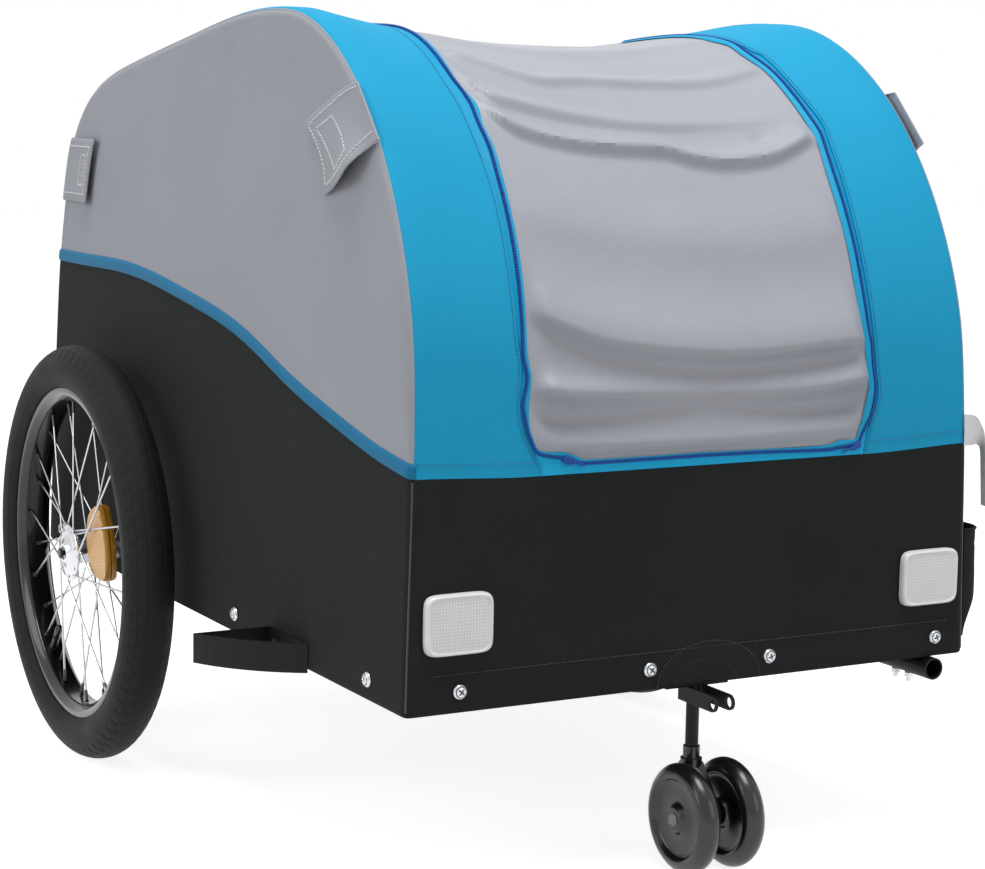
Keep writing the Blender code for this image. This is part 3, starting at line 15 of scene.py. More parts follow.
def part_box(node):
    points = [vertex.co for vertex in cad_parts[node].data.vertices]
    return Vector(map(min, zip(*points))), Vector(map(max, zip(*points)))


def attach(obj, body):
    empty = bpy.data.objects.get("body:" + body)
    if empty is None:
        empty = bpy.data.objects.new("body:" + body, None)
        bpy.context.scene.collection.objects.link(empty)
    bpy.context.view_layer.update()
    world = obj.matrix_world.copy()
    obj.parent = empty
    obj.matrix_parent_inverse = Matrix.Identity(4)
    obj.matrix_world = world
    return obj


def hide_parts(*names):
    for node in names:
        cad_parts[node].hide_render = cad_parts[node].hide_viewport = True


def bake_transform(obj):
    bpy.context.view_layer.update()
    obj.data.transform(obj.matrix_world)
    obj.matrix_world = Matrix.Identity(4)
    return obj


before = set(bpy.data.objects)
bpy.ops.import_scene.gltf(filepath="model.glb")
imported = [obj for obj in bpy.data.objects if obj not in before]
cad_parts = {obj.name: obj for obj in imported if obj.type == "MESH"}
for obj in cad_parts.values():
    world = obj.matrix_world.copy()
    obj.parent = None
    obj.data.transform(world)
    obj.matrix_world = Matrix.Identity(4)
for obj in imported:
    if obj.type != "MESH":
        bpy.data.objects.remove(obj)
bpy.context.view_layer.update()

bl_info = {
    "name": "Bicycle Trailer",
    "version": (1, 0, 0),
    "blender": (4, 5, 0),
    "location": "3D View > Sidebar > Trailer",
    "description": "Dresses a bicycle cargo trailer in cloth, stitching, tread and finishes",
    "category": "Add Mesh",
}

# Stance of the bed
BED_TILT = math.radians(2.03)
BED_CLEAR = 0.152
MIDDLE_Y = 0.393581
STANCE = Matrix.Translation((0, -MIDDLE_Y, BED_CLEAR)) @ Matrix.Rotation(BED_TILT, 4, "X")
TURN = np.array(STANCE.to_3x3())
SHIFT = np.array(STANCE.translation)
BODY_CENTRE = np.array((0.0, 0.42, 0.20))

# Body
BODY_LENGTH = 0.835
BODY_HALF = 0.2707
SIDE_LEAN = 0.0255
BELT_Z = 0.183
SAG_DEPTH = 0.027
SAG_PEAK = 0.64
SAG_END = 1.10
# A slack spot in the cloth over the hoops: x, s, depth and spread
LOW_SPOT = (0.090, 0.760, 0.0065, 0.060)
HOOP_ZONE = 0.024
BELT_DIP = 0.0037
EDGE_R = 0.008
FOOT_R = 0.004
SEAM_GAP = 0.0003
# The body's side outline as y and z, from the front over the top to the rear
OUTLINE = (
    (0.000, 0.000), (0.001, 0.090), (0.002, 0.183), (0.005, 0.243), (0.010, 0.286), (0.021, 0.327),
    (0.052, 0.395), (0.102, 0.461), (0.160, 0.507), (0.228, 0.535), (0.285, 0.5405), (0.350, 0.538),
    (0.465, 0.522), (0.618, 0.497), (0.690, 0.481), (0.745, 0.456), (0.783, 0.418), (0.803, 0.365),
    (0.817, 0.304), (0.825, 0.220), (0.831, 0.110), (BODY_LENGTH, 0.000),
)
# Lower edge of the piping on a side, as y and z
PIPING = (
    (0.0, 0.183), (0.057, 0.19), (0.114, 0.201), (0.177, 0.215), (0.24, 0.231), (0.309, 0.252),
    (0.381, 0.268), (0.458, 0.279), (0.539, 0.289), (0.625, 0.295), (0.72, 0.295), (0.835, 0.295),
)
PIPING_WIDTH = 0.011

# Door opening in the front cloth
DOOR_TOP_S = 0.80661
HEADER_END_S = 0.85210
ROOF_END_S = 1.115
REAR_PIPE_S = 1.34366
DOOR_LOW_S = 0.1925
# Middle of the zip's coil as x, s and the width of the tape inside it, round the door from top to top
ZIP_ROUTE = (
    (-0.159, 0.809, 0.004), (-0.1585, 0.74, 0.0045), (-0.157, 0.67, 0.005), (-0.1595, 0.6, 0.006),
    (-0.162, 0.54, 0.004), (-0.16, 0.52, 0.003), (-0.1583, 0.5, 0.0064), (-0.1598, 0.477, 0.0042),
    (-0.159, 0.452, 0.0048), (-0.1608, 0.425, 0.005), (-0.1616, 0.402, 0.0046), (-0.164, 0.35, 0.0045),
    (-0.1672, 0.3, 0.004), (-0.1686, 0.275, 0.0042), (-0.1662, 0.256, 0.004), (-0.1703, 0.237, 0.0055),
    (-0.1679, 0.221, 0.003), (-0.164, 0.2105, 0.0022), (-0.1579, 0.201, 0.0022), (-0.1455, 0.1975, 0.003),
    (-0.1363, 0.196, 0.0046), (-0.1225, 0.192, 0.004), (-0.1109, 0.191, 0.0026), (-0.05, 0.191, 0.0023),
    (0.0, 0.191, 0.0023), (0.05, 0.1905, 0.0023), (0.1127, 0.189, 0.0035), (0.1293, 0.19, 0.0058),
    (0.145, 0.191, 0.005), (0.1495, 0.1935, 0.004), (0.1527, 0.2, 0.0042), (0.1616, 0.214, 0.008),
    (0.1656, 0.228, 0.0072), (0.1666, 0.237, 0.0066), (0.1646, 0.254, 0.007), (0.164, 0.272, 0.007),
    (0.1622, 0.285, 0.0072), (0.1612, 0.313, 0.0074), (0.162, 0.351, 0.0072), (0.163, 0.389, 0.0074),
    (0.1645, 0.426, 0.007), (0.1667, 0.45, 0.0062), (0.169, 0.47, 0.0074), (0.1672, 0.492, 0.007),
    (0.1655, 0.52, 0.0066), (0.164, 0.555, 0.0062), (0.16, 0.592, 0.007), (0.1612, 0.619, 0.007),
    (0.1575, 0.645, 0.009), (0.156, 0.675, 0.006), (0.158, 0.74, 0.005), (0.159, 0.809, 0.004),
)
SLIDER_X = (-0.130, 0.146)
# Inner edges of the bands beside the door, as s and distance from the middle
BAND_RIGHT = (
    (0.183, 0.1534), (0.192, 0.1545), (0.196, 0.1579), (0.205, 0.1636), (0.216, 0.1691), (0.23, 0.1722),
    (0.246, 0.1717), (0.265, 0.1697), (0.28, 0.1712), (0.293, 0.172), (0.35, 0.17), (0.402, 0.1679),
    (0.46, 0.168), (0.5, 0.1684), (0.53, 0.17), (0.6, 0.169), (0.86, 0.168),
)
BAND_LEFT = (
    (0.183, 0.156), (0.199, 0.1587), (0.209, 0.163), (0.222, 0.169), (0.236, 0.1708), (0.252, 0.1692),
    (0.29, 0.1677), (0.35, 0.1678), (0.4, 0.17), (0.45, 0.1735), (0.479, 0.1768), (0.505, 0.1742),
    (0.54, 0.172), (0.59, 0.1718), (0.62, 0.1675), (0.86, 0.168),
)

# Road wheels
TYRE_R = 0.200
TYRE_SECTION = 0.0235
AXLE_Y = 0.6153
AXLE_Z = 0.026221
TRACK_HALF = 0.3091
RIM_R = 0.159
RIM_HALF = 0.0158
RIM_INNER_R = 0.147
HUB_HALF = 0.0205
FLANGE_X = 0.014
FLANGE_R = 0.027
SPOKES = 28
SPOKE_PITCH_R = 0.0235
SPOKE_CROSS = math.radians(51.4)
SPOKE_RIM_X = 0.003
SPOKE_OFF = 0.0016
LENS_R = 0.058
LENS_DEPTH = 0.034
LENS_SPAN = 0.078
LENS_ANGLE = math.radians(163)
VALVE_ANGLE = math.radians(309)

# Screws
SCREW_Z = 0.0170
SCREW_FRONT_X = (-0.2235, -0.051, 0.065, 0.2375)
SCREW_REAR_X = (-0.2305, -0.058, 0.058, 0.2305)
SCREW_SIDE_Y = (0.065, 0.330, 0.560, 0.790)

# Caster
CASTER_Y = -0.0103
CASTER_Z = -0.106702
CASTER_R = 0.045
CASTER_X = 0.0215
CASTER_WIDTH = 0.020

# Name of each side and the sign of its x
SIDES = (("right", -1), ("left", 1))


def to_world(points):
    """Points of the bed's frame as the trailer stands."""
    return np.asarray(points) @ TURN.T + SHIFT


def linear(code):
    """An sRGB hex value as linear red, green and blue."""
    parts = [int(code[i : i + 2], 16) / 255 for i in (1, 3, 5)]
    return tuple(p / 12.92 if p <= 0.04045 else ((p + 0.055) / 1.055) ** 2.4 for p in parts)


def metres(label, text, value):
    return bpy.props.FloatProperty(name=label, description=text, default=value, precision=5, unit="LENGTH")


def dye(label, text, code):
    return bpy.props.FloatVectorProperty(
        name=label, description=text, default=linear(code), size=3, subtype="COLOR", min=0, max=1
    )


class TrailerCloth(bpy.types.PropertyGroup):
    """Sizes and colours of the sewn cloth."""

    thickness: metres("Cloth", "Thickness of the coated cloth", 0.0011)
    thread: metres("Thread", "Spacing of the woven threads as drawn", 0.0016)
    stitch: metres("Stitch", "Distance from one stitch to the next", 0.0040)
    tooth: metres("Zip tooth", "Distance from one zip tooth to the next", 0.0022)
    wrinkle: metres("Wrinkle", "Height of the loose ripples in the cloth", 0.0011)
    grey: dye("Grey cloth", "Cover, door and tabs", "#A8AAB3")
    blue: dye("Blue cloth", "Bands round the door", "#22A5D3")
    black: dye("Black cloth", "Tub, floor and pocket", "#252727")
    webbing: dye("Piping", "Webbing along the sides", "#14749F")
    tape: dye("Zip tape", "Tape on both sides of the zip", "#12A0D0")
    coil: dye("Zip coil", "Teeth of the zip", "#00479A")


class TrailerWheels(bpy.types.PropertyGroup):
    """Sizes and colours of the road wheels."""

    blocks: bpy.props.IntProperty(name="Tread blocks", description="Blocks round the tyre", default=76)
    tread: metres("Tread depth", "Depth of the grooves between blocks", 0.0013)
    spoke: metres("Spoke", "Radius of a spoke", 0.0010)
    rubber: dye("Tyre", "Tyre rubber", "#191A1A")
    rim: dye("Rim", "Anodised rim", "#111113")
    amber: dye("Amber lens", "Reflectors between the spokes", "#F0AC33")


class TrailerMetal(bpy.types.PropertyGroup):
    """Sizes and colours of the steel, the screws and the front reflectors."""

    washer: metres("Washer", "Radius of the cupped washers", 0.0063)
    coat: dye("Powder coat", "Black paint of the steel frame", "#0F0F10")
    zinc: dye("Zinc", "Plated screws and axles", "#C9CBCF")
    lens: dye("Clear lens", "Front reflectors", "#F0F1F2")


class TrailerStage(bpy.types.PropertyGroup):
    """Floor, light and camera."""

    floor: dye("Floor", "Floor and backdrop", "#C8C8C8")
    sky: bpy.props.FloatProperty(
        name="Sky", description="Light from all round", default=0.25, subtype="FACTOR"
    )
    lamp: bpy.props.FloatProperty(
        name="Lamp", description="Power of the large top lamp", default=88.0, unit="POWER"
    )
    lens: bpy.props.FloatProperty(
        name="Lens", description="Focal length of the camera", default=88.56, unit="CAMERA"
    )


# Curves and surfaces of the body


def dense(points, count=4000):
    """A natural spline through points, as a table of arc length, place and direction."""
    pts = np.array(points, dtype=float)
    knots = np.concatenate([[0.0], np.cumsum(np.hypot(*np.diff(pts, axis=0).T))])
    step = np.diff(knots)
    system = np.eye(len(pts))
    right = np.zeros_like(pts)
    for i in range(1, len(pts) - 1):
        system[i, i - 1 : i + 2] = (step[i - 1], 2 * (step[i - 1] + step[i]), step[i])
        right[i] = 6 * ((pts[i + 1] - pts[i]) / step[i] - (pts[i] - pts[i - 1]) / step[i - 1])
    bend = np.linalg.solve(system, right)
    s = np.linspace(0, knots[-1], count)
    i = np.clip(np.searchsorted(knots, s, side="right") - 1, 0, len(pts) - 2)
    h = step[i][:, None]
    a = (knots[i + 1][:, None] - s[:, None]) / h
    b = 1 - a
    place = a * pts[i] + b * pts[i + 1] + ((a**3 - a) * bend[i] + (b**3 - b) * bend[i + 1]) * h * h / 6
    slope = (pts[i + 1] - pts[i]) / h + ((3 * b * b - 1) * bend[i + 1] - (3 * a * a - 1) * bend[i]) * h / 6
    slope /= np.linalg.norm(slope, axis=1)[:, None]
    return np.column_stack([s, place, slope])


OUTLINE_TABLE = dense(OUTLINE)
PIPING_TABLE = dense(PIPING)
OUTLINE_LENGTH = OUTLINE_TABLE[-1, 0]


def along_outline(s):
    """y, z and direction of the side outline at arc lengths."""
    return [np.interp(s, OUTLINE_TABLE[:, 0], OUTLINE_TABLE[:, k]) for k in range(1, 5)]


def outline_s(z, rear=False):
    """Arc length where the front or rear of the outline stands at a height."""
    half = len(OUTLINE_TABLE) // 2
    part = OUTLINE_TABLE[half:][::-1] if rear else OUTLINE_TABLE[:1200]
    return float(np.interp(z, part[:, 2], part[:, 0]))


def rear_y(z):
    """y where the rear of the outline stands at a height."""
    part = OUTLINE_TABLE[len(OUTLINE_TABLE) // 2 :][::-1]
    return np.interp(z, part[:, 2], part[:, 1])


def piping_z(y):
    return np.interp(y, PIPING_TABLE[:, 1], PIPING_TABLE[:, 2])


def half_width(z):
    return BODY_HALF - SIDE_LEAN * z


def smooth(t):
    t = np.clip(t, 0.0, 1.0)
    return t * t * (3 - 2 * t)


def sag(x, s, z):
    """How far the cloth over the hoops hangs below a straight line between them."""
    rise = smooth((s - BELT_S) / (SAG_PEAK - BELT_S))
    fall = smooth((SAG_END - s) / (SAG_END - SAG_PEAK))
    across = np.maximum(0.0, 1 - (x / (half_width(z) - HOOP_ZONE)) ** 2)
    low_x, low_s, depth, spread = LOW_SPOT
    spot = depth * np.exp(-(((x - low_x) ** 2 + (s - low_s) ** 2) / spread**2))
    return (SAG_DEPTH * np.where(s < SAG_PEAK, rise, fall) + spot) * across


BELT_S = outline_s(BELT_Z)


def rounding(distance, radius=EDGE_R):
    """Drop of a surface near a rounded edge, by the distance from the sharp edge."""
    d = np.clip(distance, 0.0, radius)
    return radius - np.sqrt(radius**2 - (radius - d) ** 2)


SEAM_IN = EDGE_R * (1 - math.sqrt(0.5)) + SEAM_GAP


def wrap(x, s, rise=0.0):
    """Points of the cloth over the hoops. x is across, s up the outline, rise above its outer face."""
    x, s, rise = np.broadcast_arrays(x, s, rise)
    s = s - BELT_DIP * smooth((BODY_HALF - np.abs(x)) / 0.11) * np.exp(-(((s - BELT_S) / 0.035) ** 2))
    y, z, ty, tz = along_outline(s)
    inward = sag(x, s, z) - rise
    inward = inward + rounding(half_width(z) - np.abs(x))
    inward = inward + 0.5 * rounding(np.minimum(s, OUTLINE_LENGTH - s), FOOT_R)
    return np.stack([x, y + tz * inward, z - ty * inward], -1)


def wrap_edge(s):
    """x of the seam between the wrapped cloth and a side."""
    return half_width(along_outline(s)[1]) - SEAM_IN


def ripple(points, scale, seed):
    """Smooth uneven waves between -1 and 1."""
    flat = points.reshape(-1, 3)
    shift = Vector((seed * 7.3, seed * 3.1, seed * 5.7))
    found = [noise.noise(Vector((p[0] * scale[0], p[1] * scale[1], p[2] * scale[2])) + shift) for p in flat]
    return np.array(found).reshape(points.shape[:-1])


class Shape:
    """Points and faces gathered for one piece."""

    def __init__(self):
        self.points, self.faces, self.threads, self.slots = [], [], [], []

    def add(self, points, faces, threads=None, slot=0):
        start = len(self.points)
        points = np.asarray(points, float).reshape(-1, 3)
        self.points.extend(map(tuple, points))
        if threads is None:
            threads = points[:, :2]
        self.threads.extend(map(tuple, np.asarray(threads, float).reshape(-1, 2)))
        self.faces.extend(tuple(int(i) + start for i in f) for f in faces)
        self.slots.extend([slot] * len(faces))

    def build(self, name, paints, nodes=(), body="frame", sharp=45, recalc=True):
        """Make the piece in its finishes, on its body and in place of its CAD nodes."""
        paints = paints.split()
        mesh = bpy.data.meshes.new(name)
        mesh.from_pydata([tuple(p) for p in to_world(self.points)], [], self.faces)
        layer = mesh.uv_layers.new(name="Thread")
        corner = np.empty(len(mesh.loops), dtype=np.int64)
        mesh.loops.foreach_get("vertex_index", corner)
        layer.data.foreach_set("uv", np.array(self.threads, dtype=np.float32)[corner].ravel())
        mesh.polygons.foreach_set("material_index", self.slots)
        if recalc:
            bm = bmesh.new()
            bm.from_mesh(mesh)
            bmesh.ops.recalc_face_normals(bm, faces=bm.faces)
            bm.to_mesh(mesh)
            bm.free()
        for paint in paints:
            mesh.materials.append(finishes[paint])
        mesh.shade_smooth()
        mesh.set_sharp_from_angle(angle=math.radians(sharp))
        mesh.update()
        thing = bpy.data.objects.new(name, mesh)
        bpy.context.collection.objects.link(thing)
        if body:
            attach(thing, body)
        if nodes:
            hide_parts(*nodes)
        return thing


def grid_faces(rows, columns, close_rows=False, close_columns=False):
    """Faces of a grid of points, closed into a tube or a ring where asked."""
    index = np.arange(rows * columns).reshape(rows, columns)
    if close_rows:
        index = np.vstack([index, index[:1]])
    if close_columns:
        index = np.hstack([index, index[:, :1]])
    return np.stack([index[:-1, :-1], index[:-1, 1:], index[1:, 1:], index[1:, :-1]], -1).reshape(-1, 4)


def capped_faces(rows, columns):
    """Faces of a stack of rings, with a flat cap on each end."""
    caps = (range(columns), range((rows - 1) * columns, rows * columns))
    return [*map(tuple, grid_faces(rows, columns, False, True)), *map(tuple, caps)]


def sheet_faces(rows, columns):
    """Faces of a grid, of the same grid behind it, and of the strip round their edges."""
    faces = grid_faces(rows, columns)
    count = rows * columns
    index = np.arange(count).reshape(rows, columns)
    ring = np.concatenate([index[0], index[1:, -1], index[-1, -2::-1], index[-2:0:-1, 0]])
    after = np.roll(ring, -1)
    edge = np.stack([ring, after, after + count, ring + count], -1)
    return np.vstack([faces, faces[:, ::-1] + count, edge])


def facing(across, up, points, centre=BODY_CENTRE):
    """Unit normals of a surface with these two directions, on the side away from a centre."""
    normal = np.cross(across, up)
    normal /= np.maximum(np.linalg.norm(normal, axis=-1, keepdims=True), 1e-12)
    return -normal if np.sum(normal * (points - centre)) < 0 else normal


def thread_places(points):
    """Lengths along a grid's columns and rows, measured on the cloth from its middle."""
    across = np.linalg.norm(np.diff(points, axis=1), axis=-1)
    up = np.linalg.norm(np.diff(points, axis=0), axis=-1)
    u = np.pad(np.cumsum(across, axis=1), ((0, 0), (1, 0)))
    v = np.pad(np.cumsum(up, axis=0), ((1, 0), (0, 0)))
    u -= u[:, u.shape[1] // 2][:, None]
    return np.stack([u, v], -1)


def add_sheet(shape, outer, thickness, slot=0, centre=BODY_CENTRE):
    """A closed thin sheet below a grid of points of its outer face."""
    out = facing(np.gradient(outer, axis=1), np.gradient(outer, axis=0), outer, centre)
    threads = thread_places(outer)
    shape.add([outer, outer - out * thickness], sheet_faces(*outer.shape[:2]), [threads, threads], slot)


def cloth_piece(name, outer, paint, held, node, rests_on, body="frame", thickness=None, centre=BODY_CENTRE):
    """A sheet of cloth that stands for its CAD node."""
    shape = Shape()
    add_sheet(shape, outer, thickness or bpy.context.scene.trailer_cloth.thickness, centre=centre)
    piece = shape.build(name, paint, [node], body)
    return piece


def add_lathe(shape, profile, steps, origin, axis):
    """Turn (along, radius) pairs about an axis."""
    axis = Vector(axis).normalized()
    side = axis.orthogonal().normalized()
    a, b, c = (np.array(v)[None, None, :] for v in (axis, side, axis.cross(side)))
    profile = np.array(profile, float)
    angle = np.linspace(0, 2 * math.pi, steps, endpoint=False)[:, None]
    radial = np.cos(angle)[..., None] * b + np.sin(angle)[..., None] * c
    points = np.array(origin) + profile[None, :, :1] * a + profile[None, :, 1:] * radial
    places = np.broadcast_arrays(angle * profile[:, 1].max(), np.arange(len(profile))[None, :] * 0.001)
    shape.add(points, grid_faces(steps, len(profile), True, True), np.stack(places, -1))


def add_round_bar(shape, route, radius, sides=10, slot=0):
    """A round bar along points, with flat ends. radius is one value or one a point."""
    route = np.asarray(route, float)
    radius = np.broadcast_to(radius, len(route))
    ahead = np.gradient(route, axis=0)
    ahead /= np.linalg.norm(ahead, axis=1)[:, None]
    start = np.cross(ahead[0], (0.3, 0.5, 0.8))
    angle = np.linspace(0, 2 * math.pi, sides, endpoint=False)[:, None]
    rings = []
    for p, t, r in zip(route, ahead, radius):
        start = start - t * np.dot(start, t)
        start = start / np.linalg.norm(start)
        rings.append(p + r * (np.cos(angle) * start + np.sin(angle) * np.cross(t, start)))
    shape.add(rings, capped_faces(len(route), sides), slot=slot)


def add_stitches(shape, route, normal, pitch, length, radius, across=False):
    """A row of short rounded threads along a route that lies on a surface."""
    route = np.asarray(route, float)
    far = np.concatenate([[0], np.cumsum(np.linalg.norm(np.diff(route, axis=0), axis=1))])
    places = np.arange(pitch / 2, far[-1], pitch)
    at, ahead, out = (
        np.stack([np.interp(places, far, values[:, k]) for k in range(3)], -1)
        for values in (route, np.gradient(route, axis=0), np.broadcast_to(normal, route.shape))
    )
    ahead /= np.linalg.norm(ahead, axis=1)[:, None]
    side = np.cross(out, ahead)
    side /= np.linalg.norm(side, axis=1)[:, None]
    out = np.cross(ahead, side)
    if across:
        ahead, side = side, ahead
    # One thread: a tip, three rings and a tip, as shares of half its length, its radius and its rise
    sides = 6
    angle = 2 * math.pi * np.arange(sides) / sides
    rings = [[(-length / 2, 0, -0.4 * radius)]]
    for end, girth, rise in ((-0.72, 0.8, 0.5), (0.0, 1.0, 0.9), (0.72, 0.8, 0.5)):
        round_part = (girth * radius * np.cos(angle), (girth * np.sin(angle) + rise) * radius)
        rings.append(np.column_stack([np.full(sides, end * length / 2), *round_part]))
    template = np.concatenate([*rings, [(length / 2, 0, -0.4 * radius)]])
    k, last = np.arange(sides), 1 + 3 * sides
    after = (k + 1) % sides
    faces = [
        *(grid_faces(3, sides, False, True) + 1),
        *np.column_stack([0 * k, 1 + after, 1 + k]),
        *np.column_stack([0 * k + last, last - sides + k, last - sides + after]),
    ]
    for p, t, b, n in zip(at, ahead, side, out):
        shape.add(p + template[:, :1] * t + template[:, 1:2] * b + template[:, 2:] * n, faces)


# Materials

# A wave texture's bands repeat after this length divided by its scale
WAVE_LENGTH = 0.314


def add_node(tree, kind, inputs=None, **settings):
    """Add a shader node. An input is a value, or the output of another node."""
    node = tree.nodes.new("ShaderNode" + kind)
    for key, value in settings.items():
        setattr(node, key, value)
    for key, value in (inputs or {}).items():
        if isinstance(value, bpy.types.NodeSocket):
            tree.links.new(value, node.inputs[key])
        else:
            node.inputs[key].default_value = value
    return node


def start_material(name, inputs):
    material = bpy.data.materials.new(name)
    material.use_nodes = True
    shader = material.node_tree.nodes["Principled BSDF"]
    for key, value in inputs.items():
        shader.inputs[key].default_value = value
    return material, material.node_tree, shader


def tint(tree, shader, factor, colour, low, high):
    """Drive the base colour between two shares of a colour."""
    ends = ((*(min(1.0, c * amount) for c in colour), 1.0) for amount in (low, high))
    mix = add_node(tree, "Mix", dict(zip((0, 6, 7), (factor, *ends))), data_type="RGBA")
    tree.links.new(mix.outputs[2], shader.inputs["Base Color"])


def relief(tree, shader, height, distance, strength):
    bump = add_node(tree, "Bump", {"Height": height, "Distance": distance, "Strength": strength})
    tree.links.new(bump.outputs["Normal"], shader.inputs["Normal"])


def woven_polyester(name, colour, roughness, sheen, specular, contrast=0.05):
    """Coated woven polyester: crossed threads catch the light and the dye is slightly uneven."""
    look = {"Roughness": roughness, "Sheen Weight": sheen, "Specular IOR Level": specular}
    material, tree, shader = start_material(name, {**look, "Sheen Roughness": 0.4, "IOR": 1.5})
    coords = add_node(tree, "TexCoord").outputs
    # The threads are drawn about four times as coarse as real ones, which are too fine to show
    pattern = {"Vector": coords["UV"], "Scale": WAVE_LENGTH / bpy.context.scene.trailer_cloth.thread}
    warp, weft = (add_node(tree, "TexWave", pattern, bands_direction=way).outputs["Fac"] for way in "XY")
    weave = add_node(tree, "Math", {0: warp, 1: weft}, operation="MULTIPLY").outputs[0]
    cloud, slub = (
        add_node(tree, "TexNoise", {"Vector": coords[place], "Scale": scale, "Detail": detail}).outputs["Fac"]
        for place, scale, detail in (("Object", 9.0, 5.0), ("UV", 420.0, 2.0))
    )
    # The weave goes into the colour as well as the relief: painted highlights on the threads, on top of the
    # uneven dye
    dye_and_thread_light = add_node(tree, "Math", {0: weave, 1: 0.35, 2: cloud}, operation="MULTIPLY_ADD").outputs[0]
    dye_and_thread_light = add_node(tree, "Math", {0: slub, 1: 0.35, 2: dye_and_thread_light}, operation="MULTIPLY_ADD").outputs[0]
    factor = add_node(tree, "MapRange", {"Value": dye_and_thread_light, "From Min": 0.45, "From Max": 1.15}).outputs[0]
    tint(tree, shader, factor, colour, 1 - contrast, 1 + contrast)
    height = add_node(tree, "Math", {0: slub, 1: 0.6, 2: weave}, operation="MULTIPLY_ADD").outputs[0]
    relief(tree, shader, height, 0.00018, 0.55)
    return material


def ribbed_webbing(name, colour, pitch=0.0014, roughness=0.55):
    """Narrow woven tape: ribs across it, and threads that shine a little more than cloth."""
    look = {"Roughness": roughness, "Specular IOR Level": 0.2, "IOR": 1.5}
    material, tree, shader = start_material(name, look)
    place = add_node(tree, "TexCoord").outputs["UV"]
    pattern = {"Vector": place, "Scale": WAVE_LENGTH / pitch}
    ribs = add_node(tree, "TexWave", pattern, bands_direction="X").outputs["Fac"]
    threads = add_node(tree, "TexNoise", {"Vector": place, "Scale": 300.0, "Detail": 3.0}).outputs["Fac"]
    height = add_node(tree, "Math", {0: ribs, 1: 0.5, 2: threads}, operation="MULTIPLY_ADD").outputs[0]
    # The ribs are painted into the colour as well as the relief: painted shade between the ribs
    tint(tree, shader, height, colour, 0.88, 1.08)
    relief(tree, shader, height, 0.00025, 0.6)
    return material


def spun_thread(name, colour):
    """Twisted polyester thread: a fine diagonal lay and a soft gloss."""
    material, tree, shader = start_material(name, {"Roughness": 0.5, "Sheen Weight": 0.3, "IOR": 1.5})
    pattern = {"Vector": add_node(tree, "TexCoord").outputs["Object"], "Scale": 420.0}
    lay = add_node(tree, "TexWave", pattern, bands_direction="DIAGONAL").outputs["Fac"]
    # The lay is painted into the colour as well as the relief: painted shade in the grooves of the twist
    tint(tree, shader, lay, colour, 0.85, 1.1)
    relief(tree, shader, lay, 0.0001, 0.4)
    return material


def mottled(name, look, colour, tones, patches, grain, depth, strength, rough=None):
    """A finish with one noise in its colour and roughness and one in its relief, as scale and detail."""
    material, tree, shader = start_material(name, look)
    place = add_node(tree, "TexCoord").outputs["Object"]
    cloud, fine = (
        add_node(tree, "TexNoise", {"Vector": place, "Scale": scale, "Detail": detail}).outputs["Fac"]
        for scale, detail in (patches, grain)
    )
    tint(tree, shader, cloud, colour, *tones)
    if rough:
        spread = add_node(tree, "MapRange", {"Value": cloud, "To Min": rough[0], "To Max": rough[1]})
        tree.links.new(spread.outputs[0], shader.inputs["Roughness"])
    relief(tree, shader, fine, depth, strength)
    return material


def powder_coat(name, colour, roughness=0.45):
    """Powder-coated steel: melted paint with a faint orange-peel surface and a film of dust."""
    look = {"Roughness": roughness, "IOR": 1.5, "Specular IOR Level": 0.2}
    rough = (roughness - 0.06, roughness + 0.1)
    return mottled(name, look, colour, (0.8, 1.5), (40.0, 6.0), (520.0, 2.0), 0.0002, 0.25, rough)


def plated_steel(name, colour, roughness, scratches=180.0):
    """Bright zinc-plated or polished metal: clear reflections broken by fine turning marks."""
    marks = (scratches, 5.0)
    look = {"Metallic": 1.0, "Roughness": roughness}
    rough = (roughness - 0.08, roughness + 0.14)
    return mottled(name, look, colour, (0.86, 1.06), marks, marks, 0.00008, 0.25, rough)


def anodised_aluminium(name, colour):
    """Black anodised aluminium: dyed oxide over extruded metal, which keeps a soft sheen."""
    grain = (260.0, 4.0)
    look = {"Metallic": 0.35, "Roughness": 0.22, "Coat Weight": 0.4, "Coat Roughness": 0.08}
    return mottled(name, look, colour, (0.8, 1.4), grain, grain, 0.0001, 0.15)


def tyre_rubber(name, colour):
    """Moulded tyre rubber: matt black with a bloom of dust in its hollows."""
    look = {"Roughness": 0.62, "IOR": 1.52, "Specular IOR Level": 0.15}
    return mottled(name, look, colour, (0.8, 1.45), (30.0, 7.0), (900.0, 2.0), 0.0002, 0.3, (0.5, 0.78))


def moulded_nylon(name, colour, roughness, texture=700.0):
    """Injection-moulded nylon: a glossy skin with faint flow marks."""
    look = {"Roughness": roughness, "IOR": 1.53}
    rough = (roughness - 0.06, roughness + 0.1)
    return mottled(name, look, colour, (0.85, 1.3), (60.0, 5.0), (texture, 2.0), 0.0001, 0.2, rough)


def prism_lens(name, colour, pitch=0.0026, roughness=0.16, depth=0.0004, dark=0.84):
    """Moulded acrylic reflector: rows of small corner prisms under a clear skin, so it glitters. The glitter
    is painted into the colour too: facets and glints made lighter and darker.
    """
    look = {"Roughness": roughness, "IOR": 1.49, "Coat Weight": 0.7, "Coat Roughness": 0.05}
    material, tree, shader = start_material(name, look)
    place = add_node(tree, "TexCoord").outputs["UV"]
    pattern = {"Vector": place, "Scale": WAVE_LENGTH / pitch}
    rows, lines = (
        add_node(tree, "TexWave", pattern, bands_direction=way, wave_profile="TRI").outputs["Fac"]
        for way in "XY"
    )
    facets = add_node(tree, "Math", {0: rows, 1: lines}, operation="MULTIPLY").outputs[0]
    glint = add_node(tree, "TexVoronoi", {"Vector": place, "Scale": 1 / pitch}).outputs["Color"]
    # Facets and glints darken and lighten the colour: painted glitter of the prisms
    painted_glitter = add_node(tree, "Math", {0: glint, 1: 0.22, 2: facets}, operation="MULTIPLY_ADD").outputs[0]
    tint(tree, shader, painted_glitter, colour, dark, 1.06)
    relief(tree, shader, facets, depth, 0.8)
    return material


finishes = {}
